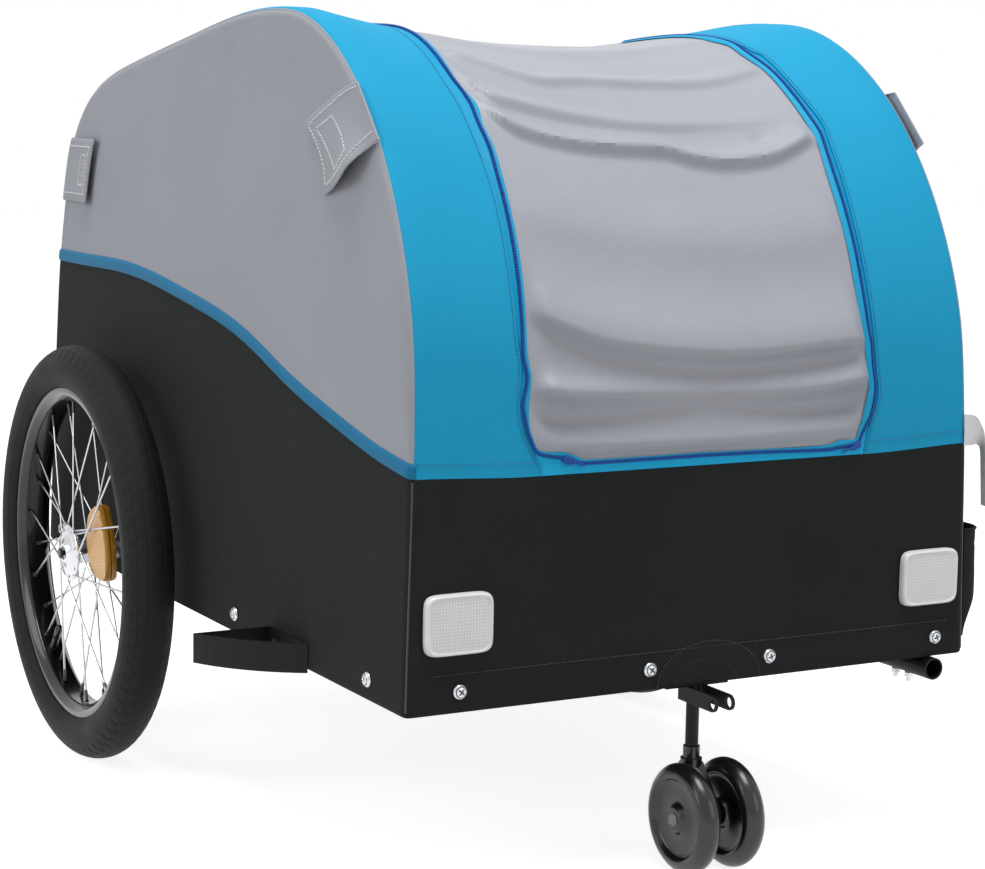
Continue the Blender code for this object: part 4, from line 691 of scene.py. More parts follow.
# A slot name listed for each finish
SLOTS = {
    **dict.fromkeys(("grey", "door"), "fabric_grey"),
    **dict.fromkeys(("blue", "sill", "blue_thread"), "fabric_blue"),
    **dict.fromkeys(("black", "black_thread", "hook_pile"), "fabric_black"),
    **dict.fromkeys(("webbing", "tape", "coil"), "fabric_piping"),
    **dict.fromkeys(("ribbon", "white_thread"), "fabric_white"),
    **dict.fromkeys(("zinc", "alloy"), "steel_bright"),
    "coat": "steel_black",
    "rim": "rim_black",
    "rubber": "rubber_tyre",
    "nylon": "plastic_black",
    "clear": "lens_white",
    "amber": "lens_amber",
}


def prepare_finishes():
    """Make each finish once."""
    scene = bpy.context.scene
    cloth, wheels, metal = scene.trailer_cloth, scene.trailer_wheels, scene.trailer_metal
    # Finish, the function that makes it, its material's name, its colour, and what else it needs
    table = (
        ("grey", woven_polyester, "grey_polyester", cloth.grey, 0.70, 0.08, 0.25),
        ("door", woven_polyester, "grey_door_polyester", cloth.grey, 0.42, 0.10, 0.50),
        ("blue", woven_polyester, "blue_polyester", cloth.blue, 0.70, 0.04, 0.15),
        ("black", woven_polyester, "black_polyester", cloth.black, 0.80, 0.03, 0.10, 0.14),
        # The sill is the bands' blue cloth made lighter: painted light against the shade that falls on the
        # sill
        ("sill", woven_polyester, "blue_sill_polyester", "#28C0F2", 0.70, 0.04, 0.15),
        ("webbing", ribbed_webbing, "blue_webbing", cloth.webbing),
        ("tape", ribbed_webbing, "zip_tape", cloth.tape, 0.0012),
        ("inner_tape", ribbed_webbing, "inner_zip_tape", cloth.blue, 0.0012),
        ("coil", moulded_nylon, "zip_coil", cloth.coil, 0.60),
        ("ribbon", ribbed_webbing, "white_ribbon", "#F1F1F3", 0.0011, 0.45),
        ("white_thread", spun_thread, "white_thread", "#F4F5F7"),
        ("blue_thread", spun_thread, "blue_thread", "#1E86AF"),
        ("black_thread", spun_thread, "black_thread", "#1B1C1C"),
        ("hook_pile", tyre_rubber, "hook_and_loop", "#2A2B2D"),
        ("coat", powder_coat, "black_powder_coat", metal.coat),
        ("zinc", plated_steel, "zinc_plate", metal.zinc, 0.24),
        # A darker zinc: painted shade at the bottom of the screws' crosses, and the metal of the spoke
        # nipples
        ("recess", plated_steel, "screw_recess", "#55575B", 0.4),
        ("alloy", plated_steel, "polished_alloy", "#D4D5D8", 0.18, 90.0),
        ("rim", anodised_aluminium, "anodised_rim", wheels.rim),
        ("rubber", tyre_rubber, "tyre_rubber", wheels.rubber),
        ("nylon", moulded_nylon, "black_nylon", "#151616", 0.22),
        ("cap", moulded_nylon, "grey_cap", "#7C7D7E", 0.4),
        ("board", moulded_nylon, "floor_board", "#2B2C2E", 0.55, 250.0),
        ("clear", prism_lens, "clear_prisms", metal.lens),
        ("lens_rim", moulded_nylon, "lens_rim", "#FBFBFB", 0.2),
        ("amber", prism_lens, "amber_prisms", wheels.amber, 0.0030, 0.18, 0.0005, 0.88),
    )
    for finish, make, name, colour, *rest in table:
        finishes[finish] = make(name, linear(colour) if isinstance(colour, str) else colour, *rest)


def give(node, finish):
    """Put a finish on a CAD node that stays."""
    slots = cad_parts[node].data.materials
    slots.clear()
    slots.append(finishes[finish])


# Cloth over the hoops


def rows_between(low, high, step, near_ends=()):
    """Values from low to high about a step apart, with extra ones close to each end."""
    count = max(2, round((high - low) / step))
    values = set(np.round(np.linspace(low, high, count + 1), 6))
    for inset in near_ends:
        values.update((round(low + inset, 6), round(high - inset, 6)))
    return np.array(sorted(values))


# Places of the closer points beside a rounded edge
EDGE_INSETS = (0.0006, 0.0013, 0.0022, 0.0034, 0.0048, 0.0064)
HOOPS = ["hoop_left", "hoop_right"]


def wrapped_panel(low_s, high_s, left, right, step, edges, wrinkle, seed):
    """Grid of the cloth over the hoops. left and right give x at an arc length."""
    rows = rows_between(low_s, high_s, step)
    middle = 0.5 * (low_s + high_s)
    width = float(right(middle) - left(middle))
    across = set(rows_between(0.0, width, step))
    if edges[0]:
        across |= set(EDGE_INSETS)
    if edges[1]:
        across |= {width - e for e in EDGE_INSETS}
    u = np.array(sorted(across)) / width
    s = np.repeat(rows[:, None], len(u), 1)
    low, high = left(rows)[:, None], right(rows)[:, None]
    x = low + (high - low) * u[None, :]
    base = wrap(x, s)
    height = bpy.context.scene.trailer_cloth.wrinkle * wrinkle
    edge = np.minimum(np.abs(x - low), np.abs(high - x))
    calm = smooth(edge / 0.03) * smooth((s - low_s) / 0.02) * smooth((high_s - s) / 0.02)
    waves = ripple(base, (6.0, 11.0, 11.0), seed) + 0.4 * ripple(base, (15.0, 30.0, 30.0), seed + 3)
    return wrap(x, s, height * waves * calm)


def even(points, count):
    """A smooth route through points, at even steps of the parameter."""
    points = np.array(points, float)
    t = np.linspace(0, len(points) - 1, count)
    i = np.clip(t.astype(int), 0, len(points) - 2)
    f = (t - i)[:, None]
    a, b, c, d = (points[np.clip(i + k, 0, len(points) - 1)] for k in (-1, 0, 1, 2))
    return b + 0.5 * f * (c - a + f * (2 * a - 5 * b + 4 * c - d + f * (3 * (b - c) + d - a)))


ZIP_LINE = even(ZIP_ROUTE, 1500)
ZIP_HALF = len(ZIP_LINE) // 2
# How far the door cloth ends inside the middle of the coil
DOOR_INSET = 0.0018
# Distance below the door's top to a second point on its side edge
DOOR_BEND = 0.05


def coil_x(s, sign):
    """Distance of the zip's coil from the middle at an arc length."""
    side = ZIP_LINE[:ZIP_HALF][::-1] if sign < 0 else ZIP_LINE[ZIP_HALF:]
    return np.interp(s, np.maximum.accumulate(side[:, 1]), np.abs(side[:, 0]))


def band_edge(s, sign):
    """Distance of a band's inner edge from the middle at an arc length."""
    line = even(BAND_RIGHT if sign < 0 else BAND_LEFT, 400)
    return np.interp(s, line[:, 0], line[:, 1])


# Creases of the door: height, width above and below the crest, strength from right to left, then the
# points along the crest as x and s
CREASES = (
    (
        0.0034, 0.020, 0.012, (0.6, 1.0, 0.5), (-0.150, 0.640), (-0.060, 0.618), (0.040, 0.622),
        (0.150, 0.652),
    ),
    (
        0.0058, 0.013, 0.0065, (1.0, 1.0, 0.6), (-0.155, 0.585), (-0.081, 0.547), (-0.032, 0.550),
        (0.024, 0.548), (0.092, 0.548), (0.150, 0.562),
    ),
    (
        0.0070, 0.014, 0.007, (1.1, 0.8, 0.0), (-0.158, 0.560), (-0.140, 0.514), (-0.113, 0.504),
        (-0.050, 0.491), (0.012, 0.485), (0.150, 0.490),
    ),
    (
        0.0094, 0.014, 0.0055, (0.9, 1.0, 0.9), (-0.158, 0.515), (-0.137, 0.481), (-0.115, 0.468),
        (-0.082, 0.460), (-0.040, 0.456), (0.003, 0.454), (0.033, 0.444), (0.065, 0.440), (0.110, 0.445),
        (0.150, 0.462),
    ),
    (0.0035, 0.030, 0.020, (0.5, 1.0, 1.0), (-0.160, 0.395), (-0.050, 0.372), (0.060, 0.364), (0.160, 0.372)),
    (
        0.0150, 0.032, 0.0085, (0.7, 1.0, 0.9), (-0.160, 0.310), (-0.132, 0.295), (-0.081, 0.280),
        (0.024, 0.270), (0.150, 0.277),
    ),
    (
        0.0105, 0.012, 0.008, (1.25, 0.45, 1.3), (-0.162, 0.250), (-0.110, 0.243), (0.070, 0.238),
        (0.160, 0.246),
    ),
    (
        -0.0050, 0.010, 0.009, (1.2, 0.3, 1.2), (-0.165, 0.229), (-0.110, 0.224), (0.100, 0.222),
        (0.165, 0.230),
    ),
    (0.0046, 0.008, 0.005, (0.8, 1.0, 0.8), (-0.150, 0.206), (0.000, 0.203), (0.150, 0.206)),
)


def door_folds(x, s):
    """Loose folds hanging across the door."""
    height = -0.0022 * np.exp(-(((x - 0.108) / 0.010) ** 2) - ((s - 0.463) / 0.007) ** 2)
    for top, above, below, strength, *crest in CREASES:
        off = s - np.interp(x, *even(crest, 120).T)
        width = np.where(off > 0, above, below)
        height += top * np.interp(x, (-0.16, 0.0, 0.16), strength) * np.exp(-((off / width) ** 2))
    return height


class TRAILER_OT_wrap(bpy.types.Operator):
    """Front, roof and rear cloth over the hoops, with the bands beside the door"""

    bl_idname = "trailer.wrap"
    bl_label = "Cloth over the hoops"

    def execute(self, context):
        seams = (lambda s: -wrap_edge(s)), wrap_edge
        bands = (lambda s: -band_edge(s, -1)), (lambda s: band_edge(s, 1))
        opening = (lambda s: bands[0](s) + SEAM_GAP), (lambda s: bands[1](s) - SEAM_GAP)
        both = (True, True)
        top_s = BELT_S + SEAM_GAP
        rear_end = REAR_PIPE_S - PIPING_WIDTH - SEAM_GAP
        # Name, finish, CAD node, ends along the outline, its two sides and the step between points, then
        # which sides get closer points, the height of the wrinkles and their seed
        for name, paint, node, *shape in (
            ("front_cloth", "black", "tub_front_panel", 0.0, BELT_S, *seams, 0.006, both, 0.8, 1),
            (
                "band_right", "blue", "door_surround",
                top_s, HEADER_END_S, seams[0], bands[0], 0.005, (True, False), 0.5, 1,
            ),
            (
                "band_left", "blue", "door_surround",
                top_s, HEADER_END_S, bands[1], seams[1], 0.005, (False, True), 0.5, 3,
            ),
            ("door_sill", "sill", "door_surround", top_s),
            (
                "door_header", "blue", "door_surround",
                DOOR_TOP_S + SEAM_GAP, HEADER_END_S, *opening, 0.005, (False, False), 0.6, 5,
            ),
            (
                "roof_cloth", "grey", "roof_panel",
                HEADER_END_S + SEAM_GAP, ROOF_END_S, *seams, 0.006, both, 1.6, 6,
            ),
            (
                "rear_cloth", "grey", "rear_upper_panel",
                ROOF_END_S + SEAM_GAP, rear_end, *seams, 0.006, both, 1.0, 7,
            ),
            (
                "rear_tub_cloth", "black", "tub_rear_panel",
                REAR_PIPE_S + SEAM_GAP, OUTLINE_LENGTH, *seams, 0.006, both, 0.8, 8,
            ),
        ):
            points = self.sill(*shape) if name == "door_sill" else wrapped_panel(*shape)
            cloth_piece(name, points, paint, "stretched", node, HOOPS)
        return {"FINISHED"}

    def sill(self, top_s):
        """Grid of the strip below the door, which ends under the zip's coil and under the bands."""
        low_x, high_x = -band_edge(top_s, -1) - 0.005, band_edge(top_s, 1) + 0.005
        x = np.repeat(np.linspace(low_x, high_x, 150)[None, :], 7, 0)
        bottom = ZIP_LINE[(np.abs(ZIP_LINE[:, 0]) < 0.162) & (ZIP_LINE[:, 1] < 0.210)]
        limit = np.interp(x, bottom[:, 0], bottom[:, 1]) + 0.0006
        s = top_s + (limit - top_s) * np.linspace(0, 1, 7)[:, None]
        beyond = np.maximum(x - band_edge(s, 1), -band_edge(s, -1) - x)
        return wrap(x, s, -0.0003 - 0.0012 * smooth((beyond + 0.0012) / 0.0012))


class TRAILER_OT_door(bpy.types.Operator):
    """Door cloth with its folds, hung from the header"""

    bl_idname = "trailer.door"
    bl_label = "Door"

    def execute(self, context):
        rows = rows_between(DOOR_LOW_S, DOOR_TOP_S, 0.0028, (0.0006, 0.0013, 0.0021, 0.0038, 0.0050))
        share = np.linspace(0, 1, 121)[None, :]
        low, high = (sign * (coil_x(rows, sign) - DOOR_INSET)[:, None] for sign in (-1, 1))
        x = low + (high - low) * share
        s = np.repeat(rows[:, None], share.shape[1], 1)
        base = wrap(x, s)
        calm = smooth(np.minimum(x - low, high - x) / 0.022)
        calm = calm * smooth((s - DOOR_LOW_S) / 0.008) * smooth((DOOR_TOP_S - s) / 0.03)
        waves = ripple(base, (5.0, 16.0, 16.0), 11) + 0.4 * ripple(base, (16.0, 44.0, 44.0), 12)
        points = wrap(x, s, (door_folds(x, s) + 0.0008 * waves) * calm)
        piece = cloth_piece("door_cloth", points, "door", "hung", "door_panel", ["door_header"], None)
        side_x = coil_x(DOOR_TOP_S, 1)
        start, end = (tuple(to_world(wrap(side_x, s))) for s in (DOOR_TOP_S, DOOR_TOP_S - DOOR_BEND))
        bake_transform(piece)
        return {"FINISHED"}


COIL_HALF = 0.0009


class TRAILER_OT_zip(bpy.types.Operator):
    """Zip round three sides of the door: tape, teeth and its two sliders"""

    bl_idname = "trailer.zip"
    bl_label = "Zip"

    def execute(self, context):
        far = np.cumsum([0, *np.linalg.norm(np.diff(ZIP_LINE[:, :2], axis=0), axis=1)])
        steps = np.arange(0, far[-1], 0.0022)
        line_x, line_s, inside = (np.interp(steps, far, ZIP_LINE[:, k]) for k in range(3))
        ahead = np.stack([np.gradient(line_x), np.gradient(line_s)], -1)
        ahead /= np.linalg.norm(ahead, axis=1)[:, None]

        def strip(offs, lift):
            """Points beside the coil. Out of the door lies to the right of the route."""
            return wrap(line_x[:, None] + ahead[:, 1:] * offs, line_s[:, None] - ahead[:, :1] * offs, lift)

        beside = smooth((line_s - 0.194) / 0.012)
        space = np.where(line_x < 0, band_edge(line_s, -1), band_edge(line_s, 1)) - np.abs(line_x)
        visible = (beside * np.clip(space, 0.0008, 0.02) + (1 - beside) * 0.0016)[:, None]
        under = (beside * smooth((0.0024 - space) / 0.0018))[:, None]
        inside = inside[:, None]
        tapes = Shape()
        offs = COIL_HALF + (visible + 0.0030 - COIL_HALF) * np.linspace(0, 1, 9)
        drop = 0.0022 * smooth((offs - COIL_HALF) / np.maximum(visible - COIL_HALF, 0.0006))
        add_sheet(tapes, strip(offs, 0.0007 - drop - 0.0022 * under), 0.0005, 0)
        part = np.linspace(0, 1, 7)
        puff = 0.0012 + 0.30 * (inside - 0.002) * np.sin(math.pi * part)
        offs = -inside + (inside - COIL_HALF) * part
        add_sheet(tapes, strip(offs, puff - 0.0016 * under * part), 0.0006, 1)
        tapes.build("zip_tapes", "tape inner_tape", ["door_zip"])
        coil = Shape()
        rise = 0.0015 - 0.0040 * under
        middle = strip(0.0, rise)[:, 0]
        normal = facing(strip(0.001, rise)[:, 0] - middle, np.gradient(middle, axis=0), middle)
        add_stitches(coil, middle, normal, context.scene.trailer_cloth.tooth, 0.0034, 0.00085, across=True)
        add_round_bar(coil, middle - normal * 0.0004, COIL_HALF, 6)
        coil.build("zip_teeth", "coil", ["door_zip"])
        # Two sliders parked in the lower corners, each with its pull tab laid along the teeth
        slider = Shape()
        angle = 2 * math.pi * (np.arange(16) + 0.5) / 16
        oval = [np.sign(w) * np.sqrt(np.abs(w)) for w in (np.cos(angle), np.sin(angle))]
        for place in SLIDER_X:
            end = int(np.argmin(np.abs(line_x - place) + (line_s > 0.2)))
            at, n = middle[end], normal[end]
            t = middle[end + 1] - middle[end]
            t /= np.linalg.norm(t)
            for long, wide, thick in ((0.005, 0.0034, 0.0018), (0.0015, 0.0010, 0.0027)):
                corners = at + long * np.outer(oval[0], t) + wide * np.outer(oval[1], np.cross(n, t))
                top = corners * 0.85 + at * 0.15 + n * thick
                rings = [corners - n * 0.0004, corners + n * thick * 0.8, top]
                slider.add(rings, capped_faces(3, len(corners)))
            pull = [at + n * 0.0024 - t * np.sign(place) * d for d in np.linspace(0.0, 0.015, 8)]
            girth = (0.0006, 0.0009, 0.0009, 0.0009, 0.0010, 0.0011, 0.0011, 0.0007)
            add_round_bar(slider, pull, girth, 8)
        slider.build("zip_sliders", "coil", ["door_zip"])
        return {"FINISHED"}


# Sides


def outline_distance(y, z):
    """Distance of points of a side from the side outline."""
    line_y, line_z = OUTLINE_TABLE[::5, 1:3].T
    return np.array([np.hypot(a[:, None] - line_y, b[:, None] - line_z).min(1) for a, b in zip(y, z)])


def side_surface(sign, y, z, rise=0.0, foot=False):
    """Points of one side, rounded towards the cloth over the hoops."""
    inward = rounding(outline_distance(y, z)) - rise
    if foot:
        inward = inward + 0.5 * rounding(z, FOOT_R)
    return np.stack([sign * (half_width(z) - inward), y, z], -1)


def inset_outline(s):
    """The outline moved in by the seam's setting."""
    y, z, ty, tz = along_outline(s)
    return y + tz * SEAM_IN, z - ty * SEAM_IN


FRONT_PIPE_S = outline_s(PIPING[0][1])
REAR_PIPE_Z = PIPING[-1][1]


class TRAILER_OT_sides(bpy.types.Operator):
    """Grey covers and black tub on both sides, with the webbing between them"""

    bl_idname = "trailer.sides"
    bl_label = "Sides"

    def execute(self, context):
        height = context.scene.trailer_cloth.wrinkle
        low_s = outline_s(PIPING[0][1] + PIPING_WIDTH + SEAM_GAP)
        high_s = outline_s(REAR_PIPE_Z + PIPING_WIDTH + SEAM_GAP, rear=True)
        top_y, top_z = inset_outline(rows_between(low_s, high_s, 0.0045))
        low_z = piping_z(top_y) + PIPING_WIDTH + SEAM_GAP
        insets = np.array((0.0, *EDGE_INSETS, 0.009, 0.013))
        near = np.clip(insets[:, None] / np.maximum(top_z - low_z, 0.016), 0, 0.9)
        rest = near[-1] + (1 - near[-1]) * np.linspace(0, 1, 44)[1:, None]
        share = np.vstack([near, rest])
        y = np.repeat(top_y[None, :], len(share), 0)
        z = top_z + (low_z - top_z) * share
        calm = smooth(outline_distance(y, z) / 0.05) * smooth((z - piping_z(y) - PIPING_WIDTH) / 0.03)
        for side, sign in SIDES:
            base = side_surface(sign, y, z)
            waves = ripple(base, (1.0, 7.0, 4.5), 20 + sign)
            waves += 0.35 * ripple(base, (1.0, 19.0, 13.0), 23 + sign)
            points = side_surface(sign, y, z, 1.5 * height * waves * calm)
            nodes = "cover_side_" + side, ["hoop_" + side]
            cloth_piece("cover_cloth_" + side, points, "grey", "stretched", *nodes)

        middle = np.linspace(0.013, BODY_LENGTH - 0.013, 150)[1:-1]
        unit = np.concatenate([insets, middle, BODY_LENGTH - insets[::-1]]) / BODY_LENGTH
        low_rows = np.array((0.0, 0.0015, 0.003, 0.005, 0.009)) / 0.2
        rise = np.concatenate([low_rows, np.linspace(0.045, 1.0, 46)[1:]])[:, None]
        front = SEAM_IN + 0.002 * rise
        # The rear edge of the tub follows the outline, found from a nearly upright line
        back = BODY_LENGTH - SEAM_IN - 0.02 * rise**1.6
        back = rear_y((piping_z(back) - SEAM_GAP) * rise) - SEAM_IN
        y = front + (back - front) * unit
        z = (piping_z(y) - SEAM_GAP) * rise
        calm = smooth(outline_distance(y, z) / 0.05) * smooth(z / 0.02) * smooth((piping_z(y) - z) / 0.02)
        for side, sign in SIDES:
            base = side_surface(sign, y, z, foot=True)
            waves = ripple(base, (1.0, 6.0, 9.0), 30 + sign)
            waves += 0.4 * ripple(base, (1.0, 17.0, 22.0), 33 + sign)
            points = side_surface(sign, y, z, height * waves * calm, foot=True)
            nodes = "tub_side_" + side, ["side_rail_" + side]
            cloth_piece("tub_cloth_" + side, points, "black", "stretched", *nodes)

        # Webbing over the seam between cover and tub, on both sides and across the rear
        share = np.linspace(-0.05, 1.05, 9)[:, None]
        crown = 0.0004 + 0.0017 * np.sqrt(np.clip(1 - (2 * share - 1) ** 2, 0, 1)) ** 0.5
        start = float(along_outline(FRONT_PIPE_S)[0]) + 0.0005
        y = np.linspace(start, float(rear_y(REAR_PIPE_Z)) - 0.0005, 210)
        y, z = np.repeat(y[None, :], len(share), 0), piping_z(y) + PIPING_WIDTH * share
        for side, sign in SIDES:
            points = side_surface(sign, y, z, crown)
            nodes = "body_piping", ["tub_cloth_" + side]
            cloth_piece("webbing_" + side, points, "webbing", "stretched", *nodes)
        across = np.linspace(-1, 1, 140)[None, :] * (wrap_edge(REAR_PIPE_S) + SEAM_IN * 0.5)
        points = wrap(np.repeat(across, len(share), 0), REAR_PIPE_S - PIPING_WIDTH * share, crown)
        cloth_piece("webbing_rear", points, "webbing", "stretched", "body_piping", ["rear_tub_cloth"])
        return {"FINISHED"}


class TRAILER_OT_floor(bpy.types.Operator):
    """Cloth under the floor, with slight waves"""

    bl_idname = "trailer.floor"
    bl_label = "Floor cloth"

    def execute(self, context):
        low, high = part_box("floor_cloth")
        x = np.linspace(low.x + 0.001, high.x - 0.001, 90)
        y = np.linspace(0.0032, BODY_LENGTH - 0.0032, 130)
        points = np.stack([*np.meshgrid(x, y), np.zeros((130, 90))], -1)
        points[..., 2] = 0.0004 + 0.0003 * ripple(points, (9.0, 9.0, 1.0), 41)
        rails = ["side_rail_left", "side_rail_right"]
        cloth_piece("floor_sheet", points, "black", "stretched", "floor_cloth", rails, thickness=0.0012)
        return {"FINISHED"}


# Small cloth pieces

# Upper and lower edge of the front tab, from the seam to its free end
TAB_TOP = even(
    (
        (0.1135, 0.4790), (0.1346, 0.4752), (0.1605, 0.4661), (0.1833, 0.4576), (0.1994, 0.4513),
        (0.2073, 0.4458),
    ),
    60,
)
TAB_LOW = even(
    (
        (0.0720, 0.4350), (0.0895, 0.4258), (0.1010, 0.4161), (0.1175, 0.4045), (0.1434, 0.3953),
        (0.1689, 0.3885),
    ),
    60,
)
TAB_BOW = 0.012
# How far the front tab lifts off the side at the middle of its lower edge
TAB_LIFT = 0.012
TAB_THICK = 0.0020
TAB_SEAT = 0.0010
TAB_CENTRE = np.array((0.0, 0.4, 0.3))
REAR_TAB_Z = (0.357, 0.421)
# Lengths of the rear tab on the rear and on the side
REAR_TAB_WRAP, REAR_TAB_SIDE = 0.034, 0.080
# Stitch lines of the tabs, in shares of their length and width
TAB_STITCHES = {
    "front": (
        (
            (0.05, 0.08), (0.46, 0.08), (0.92, 0.08), (0.92, 0.41), (0.92, 0.89), (0.42, 0.90), (0.19, 0.86),
            (0.04, 0.83),
        ),
        ((0.78, 0.19), (0.47, 0.22), (0.42, 0.55), (0.42, 0.79), (0.66, 0.84), (0.71, 0.59), (0.78, 0.19)),
    ),
    "rear": (
        ((0.03, 0.13), (0.93, 0.13), (0.93, 0.87), (0.03, 0.87)),
        ((0.70, 0.27), (0.84, 0.27), (0.84, 0.74), (0.70, 0.74), (0.70, 0.27)),
    ),
}


def front_tab(sign, u, v, rise=0.0):
    """A hook-and-loop tab beside the front hoop: u runs from its sewn edge, v down."""
    steps = np.linspace(0, 1, len(TAB_TOP))
    edges = zip(TAB_TOP.T, TAB_LOW.T)
    y, z = ((1 - v) * np.interp(u, steps, top) + v * np.interp(u, steps, low) for top, low in edges)
    y = y - TAB_BOW * np.sin(math.pi * v) * u**2
    bulge = np.sin(math.pi * np.clip(u, 0, 1)) ** 2 * np.clip(v, 0, 1) ** 1.5
    return np.stack([sign * (half_width(z) + TAB_SEAT + TAB_THICK + TAB_LIFT * bulge + rise), y, z], -1)


def rear_tab(sign, u, v, rise=0.0):
    """A hook-and-loop tab round the rear corner: u runs from its sewn edge on the rear, v up."""
    z = REAR_TAB_Z[0] + (REAR_TAB_Z[1] - REAR_TAB_Z[0]) * v
    reach = EDGE_R + TAB_SEAT + TAB_THICK + rise
    far = u * (REAR_TAB_WRAP + REAR_TAB_SIDE)
    flat, bend = REAR_TAB_WRAP - EDGE_R, EDGE_R * math.pi / 2
    angle = np.clip((far - flat) / bend, 0, 1) * math.pi / 2
    past = np.maximum(0.0, far - flat - bend)
    x = half_width(z) - REAR_TAB_WRAP + np.minimum(far, flat) + reach * np.sin(angle)
    y = rear_y(z) - EDGE_R + reach * np.cos(angle) - past
    lift = 0.004 * np.clip(past / 0.07, 0, 1) ** 3
    return np.stack([sign * (x + lift), y, z], -1)


class TRAILER_OT_tabs(bpy.types.Operator):
    """Hook-and-loop tabs with their white stitching"""

    bl_idname = "trailer.tabs"
    bl_label = "Tabs"

    def execute(self, context):
        for side, sign in SIDES:
            for kind, point in (("front", front_tab), ("rear", rear_tab)):
                body = kind + "_tab_" + side
                # A real front tab bends at its sewn edge; here its cloth and stitching go on no body
                rider = None if kind == "front" else body
                u, v = np.meshgrid(np.linspace(0, 1, 56), np.linspace(0, 1, 34))
                edge = np.minimum(np.minimum(v, 1 - v) * 0.06, (1 - u) * 0.09)
                points = point(sign, u, v, -0.5 * rounding(edge, 0.0016))
                piece = cloth_piece(
                    kind + "_tab_cloth_" + side, points, "grey", "hung", body, ["cover_cloth_" + side], rider,
                    TAB_THICK - 0.0006, TAB_CENTRE,
                )
                hooks = Shape()
                u, v = np.meshgrid(np.linspace(0.42, 0.95, 24), np.linspace(0.06, 0.94, 20))
                add_sheet(hooks, point(sign, u, v, 0.0006 - TAB_THICK), 0.0005, centre=TAB_CENTRE)
                hooks.build(kind + "_tab_hooks_" + side, "hook_pile", body=body)
                stitching = self.stitching(kind, side, sign, point, context.scene.trailer_cloth.stitch, rider)
                if kind == "front":
                    for part in (piece, stitching):
                        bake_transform(part)
        return {"FINISHED"}

    def stitching(self, kind, side, sign, point, pitch, rider):
        threads = Shape()
        for line in TAB_STITCHES[kind]:
            line = np.array(line)
            steps = np.linspace(0, 1, 30)[:-1]
            places = [a + (b - a) * t for a, b in zip(line[:-1], line[1:]) for t in steps]
            u, v = np.array([*places, line[-1]]).T
            route = point(sign, u, v)
            ahead = point(sign, u + 0.01, v) - point(sign, u - 0.01, v)
            up = point(sign, u, v + 0.01) - point(sign, u, v - 0.01)
            add_stitches(threads, route, facing(ahead, up, route, TAB_CENTRE), pitch, 0.0031, 0.00055)
        return threads.build(kind + "_tab_stitching_" + side, "white_thread", body=rider)


# Edges of the label ribbon, as distance from the cloth, y and z
LABEL_EDGES = (
    (
        (-0.0060, 0.0004, 0.208), (0.0060, 0.0010, 0.206), (0.0135, 0.0015, 0.197),
        (0.0180, 0.0020, 0.183), (0.0205, 0.0025, 0.158), (0.0215, 0.0030, 0.126),
    ),
    (
        (-0.0060, 0.0004, 0.181), (0.0060, 0.0040, 0.1805), (0.0145, 0.0090, 0.180),
        (0.0240, 0.0160, 0.174), (0.0300, 0.0215, 0.152), (0.0325, 0.0230, 0.124),
    ),
)
POCKET_Z = (0.014, 0.107)
POCKET_Y = (0.004, 0.056)
POCKET_BULGE = 0.022
# Semicircular patches above the caster: half width, height, middle in x, and rise above the cloth
PATCHES = {"outer": (0.050, 0.034, 0.006, 0.0008), "inner": (0.031, 0.020, 0.003, 0.0016)}


